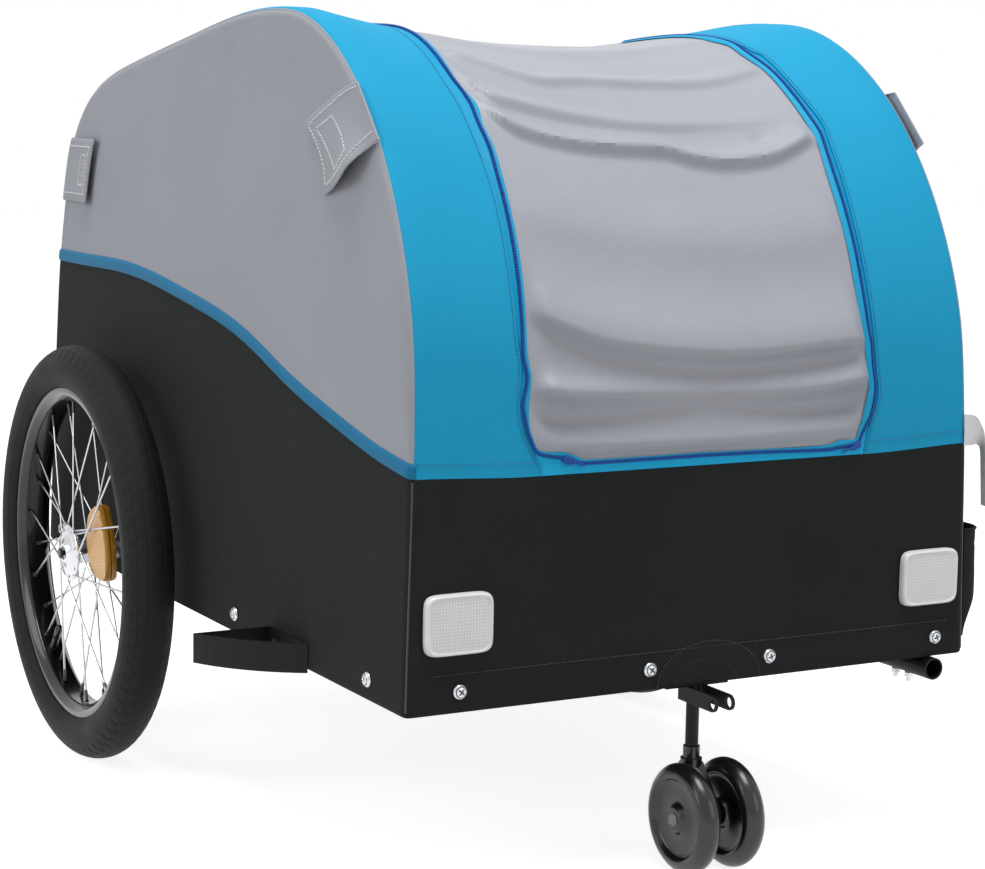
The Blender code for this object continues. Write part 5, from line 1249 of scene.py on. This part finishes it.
class TRAILER_OT_details(bpy.types.Operator):
    """Pocket, label, seams, stitch lines and the patches above the caster"""

    bl_idname = "trailer.details"
    bl_label = "Pocket, label and seams"

    def execute(self, context):
        u, v = np.meshgrid(np.linspace(0, 1, 48), np.linspace(0, 1, 40))
        rise = np.where(v < 0.4, smooth(0.15 + v / 0.45), 1.0)
        bulge = 0.002 + (POCKET_BULGE - 0.002) * rise - 0.0006 * np.exp(-(((v - 0.86) / 0.03) ** 2))
        across = np.sign(np.cos(math.pi * u)) * np.abs(np.cos(math.pi * u)) ** 0.8
        y = (POCKET_Y[0] + POCKET_Y[1]) / 2 - (POCKET_Y[1] - POCKET_Y[0]) / 2 * across
        z = POCKET_Z[0] + (POCKET_Z[1] - POCKET_Z[0]) * v
        points = np.stack([half_width(z) + 0.0006 + bulge * np.sin(math.pi * u) ** 0.7, y, z], -1)
        points[..., 0] += 0.0008 * ripple(points, (30.0, 60.0, 40.0), 51) * np.sin(math.pi * u)
        centre = np.array((0.2, 0.03, 0.06))
        nodes = "side_pocket", ["tub_cloth_left"]
        cloth_piece("pocket_cloth", points, "black", "hung", *nodes, centre=centre)
        rim = Shape()
        add_round_bar(rim, points[-1], 0.0012, 8)
        rim.build("pocket_binding", "black")

        a, b = (even(edge, 40)[:, None, :] for edge in LABEL_EDGES)
        share = np.linspace(0, 1, 14)[None, :, None]
        points = a * (1 - share) + b * share
        points[..., 0] += half_width(points[..., 2]) + 0.0014
        centre = np.array((0.2, 0.2, 0.2))
        nodes = "side_label", ["cover_cloth_left"]
        cloth_piece("label_ribbon", points, "ribbon", "hung", *nodes, thickness=0.0008, centre=centre)

        cover = [np.arange(BELT_S + 0.002, outline_s(REAR_PIPE_Z, rear=True), 0.006)]
        ends = ((FOOT_R, BELT_S - 0.002), (REAR_PIPE_S + 0.003, OUTLINE_LENGTH - FOOT_R))
        tub = [np.linspace(low, high, 40) for low, high in ends]
        for name, paint, radius, parts in (
            ("hoop_welts", "grey", 0.0008, cover),
            ("tub_welts", "black_thread", 0.0009, tub),
        ):
            welts = Shape()
            for sign in (-1, 1):
                for s in parts:
                    y, z = inset_outline(s)
                    route = np.stack([sign * (half_width(z) - SEAM_IN + 0.0004), y, z], -1)
                    add_round_bar(welts, route, radius, 6)
            welts.build(name, paint)

        pitch = context.scene.trailer_cloth.stitch * 0.8
        blue = Shape()
        low_s = BELT_S + 0.011
        for sign in (-1, 1):
            x = np.linspace(float(band_edge(low_s, sign)) + 0.002, float(wrap_edge(low_s)) - 0.002, 40)
            self.row(blue, sign * x, low_s, pitch)
            s = np.linspace(BELT_S + 0.002, HEADER_END_S - 0.004, 220)
            self.row(blue, sign * (band_edge(s, sign) + 0.0022), s, pitch)
        self.row(blue, np.linspace(-0.165, 0.165, 120), DOOR_TOP_S + 0.004, pitch)
        blue.build("band_stitching", "blue_thread")
        dark = Shape()
        self.row(dark, np.linspace(-0.25, 0.25, 260), 0.031, pitch)
        turn = np.linspace(math.pi, 0, 60)
        for wide, tall, middle, _ in PATCHES.values():
            self.row(dark, middle + wide * np.cos(turn), 0.0015 + tall * np.sin(turn), pitch)
        dark.build("front_stitching", "black_thread")

        r, t = np.meshgrid(np.linspace(0.12, 1.0, 14), np.linspace(0.02, math.pi - 0.02, 50))
        for name, (wide, tall, middle, rise) in PATCHES.items():
            lift = rise * np.minimum(1.0, (1 - r) * 9 + 0.35) + 0.0002
            patch = Shape()
            points = wrap(middle + wide * r * np.cos(t), 0.0012 + tall * r * np.sin(t), lift)
            add_sheet(patch, points, 0.0008)
            patch.build("front_patch_" + name, "black")
        return {"FINISHED"}

    def row(self, shape, x, s, pitch):
        """A row of stitches on the cloth over the hoops."""
        route = wrap(x, s, 0.0004)
        ahead = wrap(x + 0.001, s) - wrap(x - 0.001, s)
        up = wrap(x, s + 0.001) - wrap(x, s - 0.001)
        add_stitches(shape, route, facing(ahead, up, route), pitch, pitch * 0.72, 0.0004)


# Hardware


def add_screw(shape, place, out, washer):
    """A cross-head screw in a cupped washer."""
    cup = (
        (0.0002, washer), (0.0009, washer * 0.99), (0.0021, washer * 0.84), (0.0025, washer * 0.76),
        (0.0019, washer * 0.70), (0.0008, washer * 0.62), (0.0002, washer * 0.60),
    )
    add_lathe(shape, cup, 40, place, out)
    out = Vector(out)
    side = out.orthogonal().normalized()
    # The cross of each screw stands at its own turn
    turn = 0.5 + place[0] * 9 + place[1] * 7
    angle = np.linspace(0, 2 * math.pi, 56, endpoint=False)
    r, t = np.meshgrid(np.linspace(0, 1, 15), angle, indexing="ij")
    head = washer * 0.66
    a, b = r * np.cos(t) * head, r * np.sin(t) * head
    c, d = math.cos(turn), math.sin(turn)
    across = np.abs(np.stack([a * c + b * d, b * c - a * d]))
    cross = smooth((0.00066 - across.min(0)) / 0.00022) * smooth((0.0029 - across.max(0)) / 0.0005)
    height = 0.0022 + 0.0017 * np.sqrt(np.clip(1 - (0.92 * r) ** 2, 0, 1)) - 0.0015 * cross
    height[-1] = 0.0012
    faces = grid_faces(*r.shape, False, True)
    shape.add(place + np.stack([a, b, height], -1) @ np.array((side, out.cross(side), out)), faces)
    # The bottom of the cross gets a darker metal: painted shade in the recess
    shape.slots[-len(faces) :] = (cross.reshape(-1) > 0.5)[faces].all(1).astype(int).tolist()


class TRAILER_OT_rails(bpy.types.Operator):
    """Steel rails under the cloth, and the screws that hold the cloth to them"""

    bl_idname = "trailer.rails"
    bl_label = "Rails and screws"

    def execute(self, context):
        low_z, high_z, wide = 0.0023, 0.0423, 0.020
        out_x = half_width(high_z) - 0.0023
        in_x = out_x - wide
        front, back, end_x = 0.0032, 0.8313, in_x - 0.0003
        first, k = np.divmod(np.arange(20), 5)
        angle = (first + k / 4) * math.pi / 2
        for node, low, high in (
            ("side_rail_right", (-out_x, front), (-in_x, back)),
            ("side_rail_left", (in_x, front), (out_x, back)),
            ("front_rail", (-end_x, front), (end_x, front + wide)),
            ("rear_rail", (-end_x, back - wide), (end_x, back)),
        ):
            shape = Shape()
            # Two rounded rings at each end of a tube, the outer one smaller
            across = 0 if node.startswith("side") else 1
            rings = np.empty((4, 20, 3))
            for ring, end, inset in zip(rings, (low, low, high, high), (0.0016, 0.0, 0.0, 0.0016)):
                r = 0.0015 if inset else 0.003
                ring[:, 1 - across] = end[1 - across]
                near = low[across] + inset + r, low_z + inset + r
                far = high[across] - inset - r, high_z - inset - r
                ring[:, across] = np.where((first == 0) | (first == 3), far[0], near[0]) + r * np.cos(angle)
                ring[:, 2] = np.where(first < 2, far[1], near[1]) + r * np.sin(angle)
            shape.add(rings, grid_faces(4, 20, True, True))
            if node.startswith("side"):
                sign = 1 if "left" in node else -1
                # Collars for the feet of the hoops
                foot = ((0.0, 0.0083), (0.0, 0.010), (0.029, 0.010), (0.030, 0.0095), (0.030, 0.0083))
                for y in (0.0126, 0.8215):
                    place = (sign * (half_width(0.06) - 0.0123), y, high_z - 0.001)
                    add_lathe(shape, foot, 40, place, (0, 0, 1))
            if node == "side_rail_left":
                # Gusset over the tow socket
                slab = np.array(((0.2145, 0.0235), (0.2485, 0.0235), (0.2485, 0.0665), (0.2145, 0.0665)))
                rings = [np.column_stack([slab, np.full(4, z)]) for z in (0.0027, 0.0057)]
                shape.add(rings, capped_faces(2, 4))
            shape.build(node + "_tube", "coat", [node])
        front_y = float(along_outline(outline_s(SCREW_Z))[0]) - 0.0002
        rear_end_y = float(along_outline(outline_s(SCREW_Z, rear=True))[0]) + 0.0002
        side_x = half_width(SCREW_Z) + 0.0002
        for name, places, out in (
            ("front", [(x, front_y) for x in SCREW_FRONT_X], (0, -1, 0)),
            ("rear", [(x, rear_end_y) for x in SCREW_REAR_X], (0, 1, 0)),
            ("right", [(-side_x, y) for y in SCREW_SIDE_Y], (-1, 0, 0)),
            ("left", [(side_x, y) for y in SCREW_SIDE_Y], (1, 0, 0)),
        ):
            screws = Shape()
            for place in places:
                add_screw(screws, (*place, SCREW_Z), out, context.scene.trailer_metal.washer)
            screws.build("screws_" + name, "zinc recess", sharp=38, recalc=False)
        return {"FINISHED"}


class TRAILER_OT_reflectors(bpy.types.Operator):
    """Pillow-shaped clear reflectors on the front"""

    bl_idname = "trailer.reflectors"
    bl_label = "Front reflectors"

    def execute(self, context):
        deep, power = 0.0062, 0.30
        size = np.array((0.059, 0.048)) / 2
        centre = np.array((0.2265, 0.0705))
        back_y = float(along_outline(outline_s(centre[1]))[0]) - 0.0009
        angle = np.linspace(0, 2 * math.pi, 128, endpoint=False)
        circle = np.column_stack([np.cos(angle), np.sin(angle)])
        square = np.sign(circle) * np.abs(circle) ** power
        # From the back, over a raised rim, down to the crowned lens, as shares of the size and depth
        profile = (
            (1.0, 0.0), (1.0, 0.40), (0.985, 0.72), (0.955, 0.93), (0.925, 1.0), (0.900, 0.985),
            (0.885, 0.86), (0.870, 0.84), (0.80, 0.86), (0.65, 0.90), (0.45, 0.935), (0.25, 0.955),
            (0.08, 0.96),
        )
        for side, sign in SIDES:
            rings = np.empty((len(profile), len(angle), 3))
            for ring, (scale, rise) in zip(rings, profile):
                blend = 1 - 0.5 * max(0.0, 0.8 - scale)
                ring[:, 0::2] = centre * (sign, 1) + (square * blend + circle * (1 - blend)) * size * scale
                ring[:, 1] = back_y - deep * rise
            shape = Shape()
            shape.add(rings, capped_faces(*rings.shape[:2]), rings[..., 0::2])
            # The raised rim is smooth, without prisms
            shape.slots[: 7 * len(angle)] = [1] * (7 * len(angle))
            shape.build("reflector_" + side, "clear lens_rim", ["front_reflector_" + side], sharp=60)
        return {"FINISHED"}


# Road wheels

# Radius where the spokes end in the rim
SPOKE_RIM_R = RIM_INNER_R - 0.0011


def spoke_ends(index):
    """Hub end and rim end of a spoke about a wheel whose axle is x."""
    rim_angle = 2 * math.pi * (index + 0.5) / SPOKES
    flange = 1 if index % 2 else -1
    leading = 1 if (index // 2) % 2 else -1
    hub_angle = rim_angle + leading * SPOKE_CROSS
    hub_x = flange * (FLANGE_X + leading * SPOKE_OFF)
    hub_end = Vector((hub_x, SPOKE_PITCH_R * math.cos(hub_angle), SPOKE_PITCH_R * math.sin(hub_angle)))
    rim_y, rim_z = SPOKE_RIM_R * math.cos(rim_angle), SPOKE_RIM_R * math.sin(rim_angle)
    rim_end = Vector((flange * SPOKE_RIM_X, rim_y, rim_z))
    return hub_end, rim_end, flange


def spoke_inside(y, z):
    """How far out the inner spokes' inner face lies at a point of the wheel's plane."""
    t = np.linspace(0, 1, 400)
    along = (1 - t) * SPOKE_PITCH_R * math.cos(SPOKE_CROSS) + t * SPOKE_RIM_R
    reach = np.hypot(along, (1 - t) * SPOKE_PITCH_R * math.sin(SPOKE_CROSS))
    hub_x = FLANGE_X - SPOKE_OFF
    return np.interp(np.hypot(y, z), reach, hub_x + (SPOKE_RIM_X - hub_x) * t - 0.0010)


class TRAILER_OT_wheels(bpy.types.Operator):
    """Road wheels: treaded tyres, rims with valves, hubs, spokes and amber reflectors"""

    bl_idname = "trailer.wheels"
    bl_label = "Road wheels"

    def execute(self, context):
        sizes = context.scene.trailer_wheels
        parts = (
            (self.tyre(sizes.blocks, sizes.tread), "tyre_rubber_", "rubber", "tyre_", 50),
            (self.rim(), "rim_ring_", "rim nylon", "rim_", 40),
            (self.hub(sizes.spoke), "hub_spokes_", "alloy zinc recess", "hub_", 40),
            (self.lens(), "spoke_lens_", "amber recess", "spoke_reflector_", 40),
        )
        for side, sign in SIDES:
            for shape, name, paints, node, sharp in parts:
                moved = Shape()
                moved.points = np.array(shape.points) + (sign * TRACK_HALF, AXLE_Y, AXLE_Z)
                moved.faces, moved.threads, moved.slots = shape.faces, shape.threads, shape.slots
                moved.build(name + side, paints, [node + side], "wheel_" + side, sharp)
        return {"FINISHED"}

    def tyre(self, blocks, tread):
        """Round section with rows of blocks on its crown and fine ridges on its walls."""
        shape = Shape()
        steps = blocks * 6
        first = math.asin((RIM_HALF + 0.0006) / TYRE_SECTION)
        fine = (
            0, 4, 8, 12, 15.2, 16.2, 18.4, 19.4, 24, 29, 34, 38.6, 39.8, 42.2, 43.4, 49, 55, 60, 63, 65,
        )
        half = np.concatenate([np.radians(fine), np.linspace(math.radians(68), math.pi - first, 26)])
        theta = np.linspace(0, 2 * math.pi, steps, endpoint=False)
        p, t = np.meshgrid(np.concatenate([-half[::-1], half[1:]]), theta, indexing="ij")
        away = np.degrees(np.abs(p))
        groove = smooth((1.4 - np.abs(away - 17.3)) / 0.6) + smooth((1.5 - np.abs(away - 41.0)) / 0.6)
        row = np.where(away < 17.3, 0.0, np.where(away < 41, 0.5, 0.2))
        beat = (t * blocks / (2 * math.pi) + row + 0.2 * np.sign(p)) % 1.0
        cut = smooth((0.15 - np.abs(beat - 0.5)) / 0.07) * (away < 62) * np.where(away > 30, 0.8, 0.25)
        depth = tread * np.clip(0.3 * groove + cut, 0, 1)
        depth -= 0.0004 * sum(smooth((1.3 - np.abs(away - ring)) / 0.8) for ring in (78, 86, 94, 112))
        section = TYRE_SECTION - depth
        # Beads inside the rim: x, and radius above the rim's edge
        beads = np.array(((0.0133, 0.0006), (0.0133, -0.0045), (-0.0133, -0.0045), (-0.0133, 0.0006)))
        x = np.vstack([section * np.sin(p), np.repeat(beads[:, :1], steps, 1)])
        r = TYRE_R - TYRE_SECTION + section * np.cos(p)
        r = np.vstack([r, np.repeat(RIM_R + beads[:, 1:], steps, 1)])
        shape.add(np.stack([x, r * np.cos(theta), r * np.sin(theta)], -1), grid_faces(*x.shape, True, True))
        return shape

    def rim(self):
        """Extruded rim with rounded hooks, a drilled bed and the tyre's valve."""
        shape = Shape()
        half, outer, inner = RIM_HALF, RIM_R, RIM_INNER_R
        wall = (
            (0.5 * half, inner), (0.62 * half, inner + 0.0002), (0.70 * half, inner + 0.0010),
            (half - 0.0008, outer - 0.0066), (half, outer - 0.0052), (half, outer - 0.0006),
            (half - 0.0003, outer + 0.0002), (half - 0.0014, outer + 0.0002), (half - 0.0022, outer - 0.0004),
            (half - 0.0022, outer - 0.0050),
        )
        mirror = [(-x, r) for x, r in reversed(wall)]
        # The profile starts at the outer edge of the right wall
        add_lathe(shape, [*mirror[3:], *wall, *mirror[:3]], 160, (0, 0, 0), (1, 0, 0))
        out = np.array((0, math.cos(VALVE_ANGLE), math.sin(VALVE_ANGLE)))
        far = (0.1475, 0.1465, 0.1440, 0.1400, 0.1320, 0.1300, 0.1290, 0.1180, 0.1160, 0.1145, 0.1135)
        girth = (0.0050, 0.0050, 0.0042, 0.0038, 0.0034, 0.0034, 0.0040, 0.0040, 0.0036, 0.0028, 0.0012)
        add_round_bar(shape, np.outer(far, out), girth, 20, 1)
        return shape

    def hub(self, spoke):
        """Turned hub with two flanges, crossed spokes with bent heads, and nipples in the rim."""
        shape = Shape()
        half = (
            (-HUB_HALF, 0.0066), (-HUB_HALF, 0.0087), (0.0008 - HUB_HALF, 0.0095), (-0.0170, 0.0122),
            (-0.0160, 0.0190), (-0.0155, FLANGE_R - 0.0008), (-0.0148, FLANGE_R), (-0.0132, FLANGE_R),
            (-0.0125, FLANGE_R - 0.0008), (-0.0120, 0.0185), (-0.0105, 0.0135), (-0.0070, 0.0115),
        )
        add_lathe(shape, [*half, *((-x, r) for x, r in reversed(half))], 72, (0, 0, 0), (1, 0, 0))
        for index in range(SPOKES):
            hub_end, rim_end, flange = spoke_ends(index)
            away = (hub_end.x - flange * FLANGE_X) * flange
            inward = Vector((-math.copysign(1, away) * flange, 0, 0))
            direction = (rim_end - hub_end).normalized()
            route = [
                hub_end + inward * 0.0042,
                hub_end + inward * 0.0018,
                hub_end + inward * 0.0006 + direction * 0.0007,
                hub_end + direction * 0.0022,
                *(hub_end.lerp(rim_end, t) for t in (0.15, 0.5, 0.85, 1.0)),
            ]
            add_round_bar(shape, route, [0.0017] + [spoke] * 7, 10, 1)
            neck = [rim_end - direction * d for d in (-0.0005, 0.0010, 0.0012, 0.0095, 0.0110, 0.0118)]
            add_round_bar(shape, neck, (0.0021, 0.0021, 0.0016, 0.0015, 0.0014, 0.0010), 12, 2)
        return shape

    def lens(self):
        """Two amber half shells with a ribbed skin, clipped between the rows of spokes."""
        shape = Shape()
        u, v = np.meshgrid(np.linspace(0, 1, 54), np.linspace(0, 1, 34))
        bow = 0.004 * (1 - (2 * u - 1) ** 2) * (2 * v - 1)
        r = LENS_R + LENS_DEPTH * (v - 0.5) * (1 - 0.26 * np.abs(2 * u - 1) ** 3) + bow
        t = LENS_SPAN * (u - 0.5) * (0.80 + 0.20 * v) * (1 - 0.12 * np.abs(2 * v - 1) ** 3)
        edge = np.minimum(np.minimum(u, 1 - u) * LENS_SPAN, np.minimum(v, 1 - v) * LENS_DEPTH)
        border = smooth((edge - 0.0012) / 0.0008)
        ribs = 0.0005 * np.abs(np.sin(u * math.pi * 15)) * border
        half = spoke_inside(r, t) - 0.0008 - rounding(edge, 0.0022) - 0.0006 * border + ribs
        c, s = math.cos(LENS_ANGLE), math.sin(LENS_ANGLE)
        threads = np.stack([u * LENS_SPAN + v * LENS_DEPTH, v * LENS_DEPTH - u * LENS_SPAN], -1)
        for sign in (-1, 1):
            outer, inner = (
                np.stack([sign * x, r * c - t * s, r * s + t * c], -1)
                for x in (np.maximum(half, 0.0016), np.full_like(half, 0.0007))
            )
            shape.add([outer, inner], sheet_faces(*half.shape), [threads, threads])
        return shape


# Caster and bed


class TRAILER_OT_caster(bpy.types.Operator):
    """Swivelling twin caster and its bracket"""

    bl_idname = "trailer.caster"
    bl_label = "Caster"

    def execute(self, context):
        half, bore = CASTER_WIDTH / 2, 0.0035
        arc = np.linspace(math.pi, 0, 25)
        tread = [(half * math.cos(a), CASTER_R - half + half * math.sin(a)) for a in arc]
        face = (
            (half - 0.0004, CASTER_R - half - 0.0012), (half - 0.0016, CASTER_R - half - 0.0022),
            (half - 0.0030, 0.0320), (half - 0.0044, 0.0300), (half - 0.0050, 0.0270),
            (half - 0.0052, 0.0150), (half - 0.0046, 0.0125), (half - 0.0012, 0.0108),
            (half - 0.0002, 0.0100), (half, 0.0090), (half, bore),
        )
        profile = [*((-x, r) for x, r in reversed(face)), *tread, *face]
        for side, sign in SIDES:
            shape = Shape()
            add_lathe(shape, profile, 96, (sign * CASTER_X, CASTER_Y, CASTER_Z), (1, 0, 0))
            wheel = "caster_wheel_" + side
            shape.build("caster_tyre_" + side, "nylon", [wheel], wheel, 50)
        for node, finish in (("caster_fork", "nylon"), ("caster_axle", "cap"), ("caster_bracket", "coat")):
            give(node, finish)
        return {"FINISHED"}


class TRAILER_OT_bed(bpy.types.Operator):
    """Finishes of the hoops, beams, guards, tow socket and axles"""

    bl_idname = "trailer.bed"
    bl_label = "Bed frame"

    def execute(self, context):
        for finish, nodes in (
            ("coat", "axle_beam hoop_left hoop_right belt_bar rear_bar tow_socket"),
            ("coat", "wheel_guard_left wheel_guard_right"),
            ("zinc", "axle_left axle_right tow_bolt_front tow_bolt_rear"),
            ("nylon", "release_button_left release_button_right"),
            ("board", "floor_board"),
        ):
            for node in nodes.split():
                give(node, finish)
        return {"FINISHED"}


def seen_rays(tree):
    """1 for rays that the camera sends, straight, off a shiny surface or through a clear one."""
    path = add_node(tree, "LightPath").outputs
    seen = path["Is Camera Ray"]
    for kind in ("Is Glossy Ray", "Is Transmission Ray"):
        seen = add_node(tree, "Math", {0: seen, 1: path[kind]}, operation="MAXIMUM").outputs[0]
    return seen


class TRAILER_OT_stage(bpy.types.Operator):
    """White floor and backdrop, soft light and the camera"""

    bl_idname = "trailer.stage"
    bl_label = "Stage"

    def execute(self, context):
        stage = context.scene.trailer_stage
        mesh = bpy.data.meshes.new("floor")
        bm = bmesh.new()
        bmesh.ops.create_grid(bm, x_segments=8, y_segments=8, size=30)
        bm.to_mesh(mesh)
        bm.free()
        floor = bpy.data.objects.new("floor", mesh)
        context.collection.objects.link(floor)
        floor.location.z = -0.0005
        look = {"Roughness": 0.9, "Base Color": (*stage.floor, 1), "Emission Color": (1, 1, 1, 1)}
        material, tree, shader = start_material("studio_floor", look)
        strength = add_node(tree, "Math", {0: seen_rays(tree), 1: 0.85}, operation="MULTIPLY")
        tree.links.new(strength.outputs[0], shader.inputs["Emission Strength"])
        mesh.materials.append(material)

        world = bpy.data.worlds.new("studio")
        world.use_nodes = True
        context.scene.world = world
        tree = world.node_tree
        tree.nodes.clear()
        strength = add_node(tree, "MapRange", {"Value": seen_rays(tree), "To Min": stage.sky, "To Max": 1.0})
        back = add_node(tree, "Background", {"Color": (1, 1, 1, 1), "Strength": strength.outputs[0]})
        sink = add_node(tree, "OutputWorld")
        tree.links.new(back.outputs[0], sink.inputs["Surface"])

        for name, place, size, power in (
            ("top_lamp", (-0.3, -0.9, 3.6), 1.8, stage.lamp),
            ("front_lamp", (1.4, -3.4, 1.6), 2.0, stage.lamp * 0.19),
            ("side_lamp", (-3.2, 0.4, 1.8), 2.0, stage.lamp * 0.38),
        ):
            light = bpy.data.lights.new(name, "AREA")
            light.shape = "SQUARE"
            light.size = size
            light.energy = power
            lamp = bpy.data.objects.new(name, light)
            lamp.location = place
            lamp.rotation_euler = (Vector((0, 0, 0.3)) - Vector(place)).to_track_quat("-Z", "Y").to_euler()
            context.collection.objects.link(lamp)

        camera = bpy.data.cameras.new("camera")
        camera.lens = stage.lens
        camera.sensor_width = 36
        view = bpy.data.objects.new("camera", camera)
        view.location = (-1.0808, -2.0044, 0.5627)
        view.rotation_euler = (math.radians(83.88), 0, math.radians(-28.82))
        context.collection.objects.link(view)
        context.scene.camera = view
        context.scene.view_settings.view_transform = "Standard"
        return {"FINISHED"}


OPERATORS = (
    TRAILER_OT_wrap,
    TRAILER_OT_door,
    TRAILER_OT_zip,
    TRAILER_OT_sides,
    TRAILER_OT_floor,
    TRAILER_OT_tabs,
    TRAILER_OT_details,
    TRAILER_OT_rails,
    TRAILER_OT_reflectors,
    TRAILER_OT_wheels,
    TRAILER_OT_caster,
    TRAILER_OT_bed,
    TRAILER_OT_stage,
)
GROUPS = {
    "trailer_cloth": TrailerCloth,
    "trailer_wheels": TrailerWheels,
    "trailer_metal": TrailerMetal,
    "trailer_stage": TrailerStage,
}


class TRAILER_PT_panel(bpy.types.Panel):
    """Lists the trailer's pieces and their sizes"""

    bl_idname = "TRAILER_PT_panel"
    bl_label = "Bicycle Trailer"
    bl_space_type = "VIEW_3D"
    bl_region_type = "UI"
    bl_category = "Trailer"

    def draw(self, context):
        for kind in OPERATORS:
            self.layout.operator(kind.bl_idname)
        for name in GROUPS:
            box = self.layout.box()
            group = getattr(context.scene, name)
            for key in group.__annotations__:
                box.prop(group, key)


def register():
    for kind in (*GROUPS.values(), *OPERATORS, TRAILER_PT_panel):
        bpy.utils.register_class(kind)
    for name, kind in GROUPS.items():
        setattr(bpy.types.Scene, name, bpy.props.PointerProperty(type=kind))


def unregister():
    for name in GROUPS:
        delattr(bpy.types.Scene, name)
    for kind in reversed((*GROUPS.values(), *OPERATORS, TRAILER_PT_panel)):
        bpy.utils.unregister_class(kind)


def main():
    register()
    prepare_finishes()
    for kind in OPERATORS:
        space, action = kind.bl_idname.split(".")
        getattr(getattr(bpy.ops, space), action)()


if __name__ == "__main__":
    main()
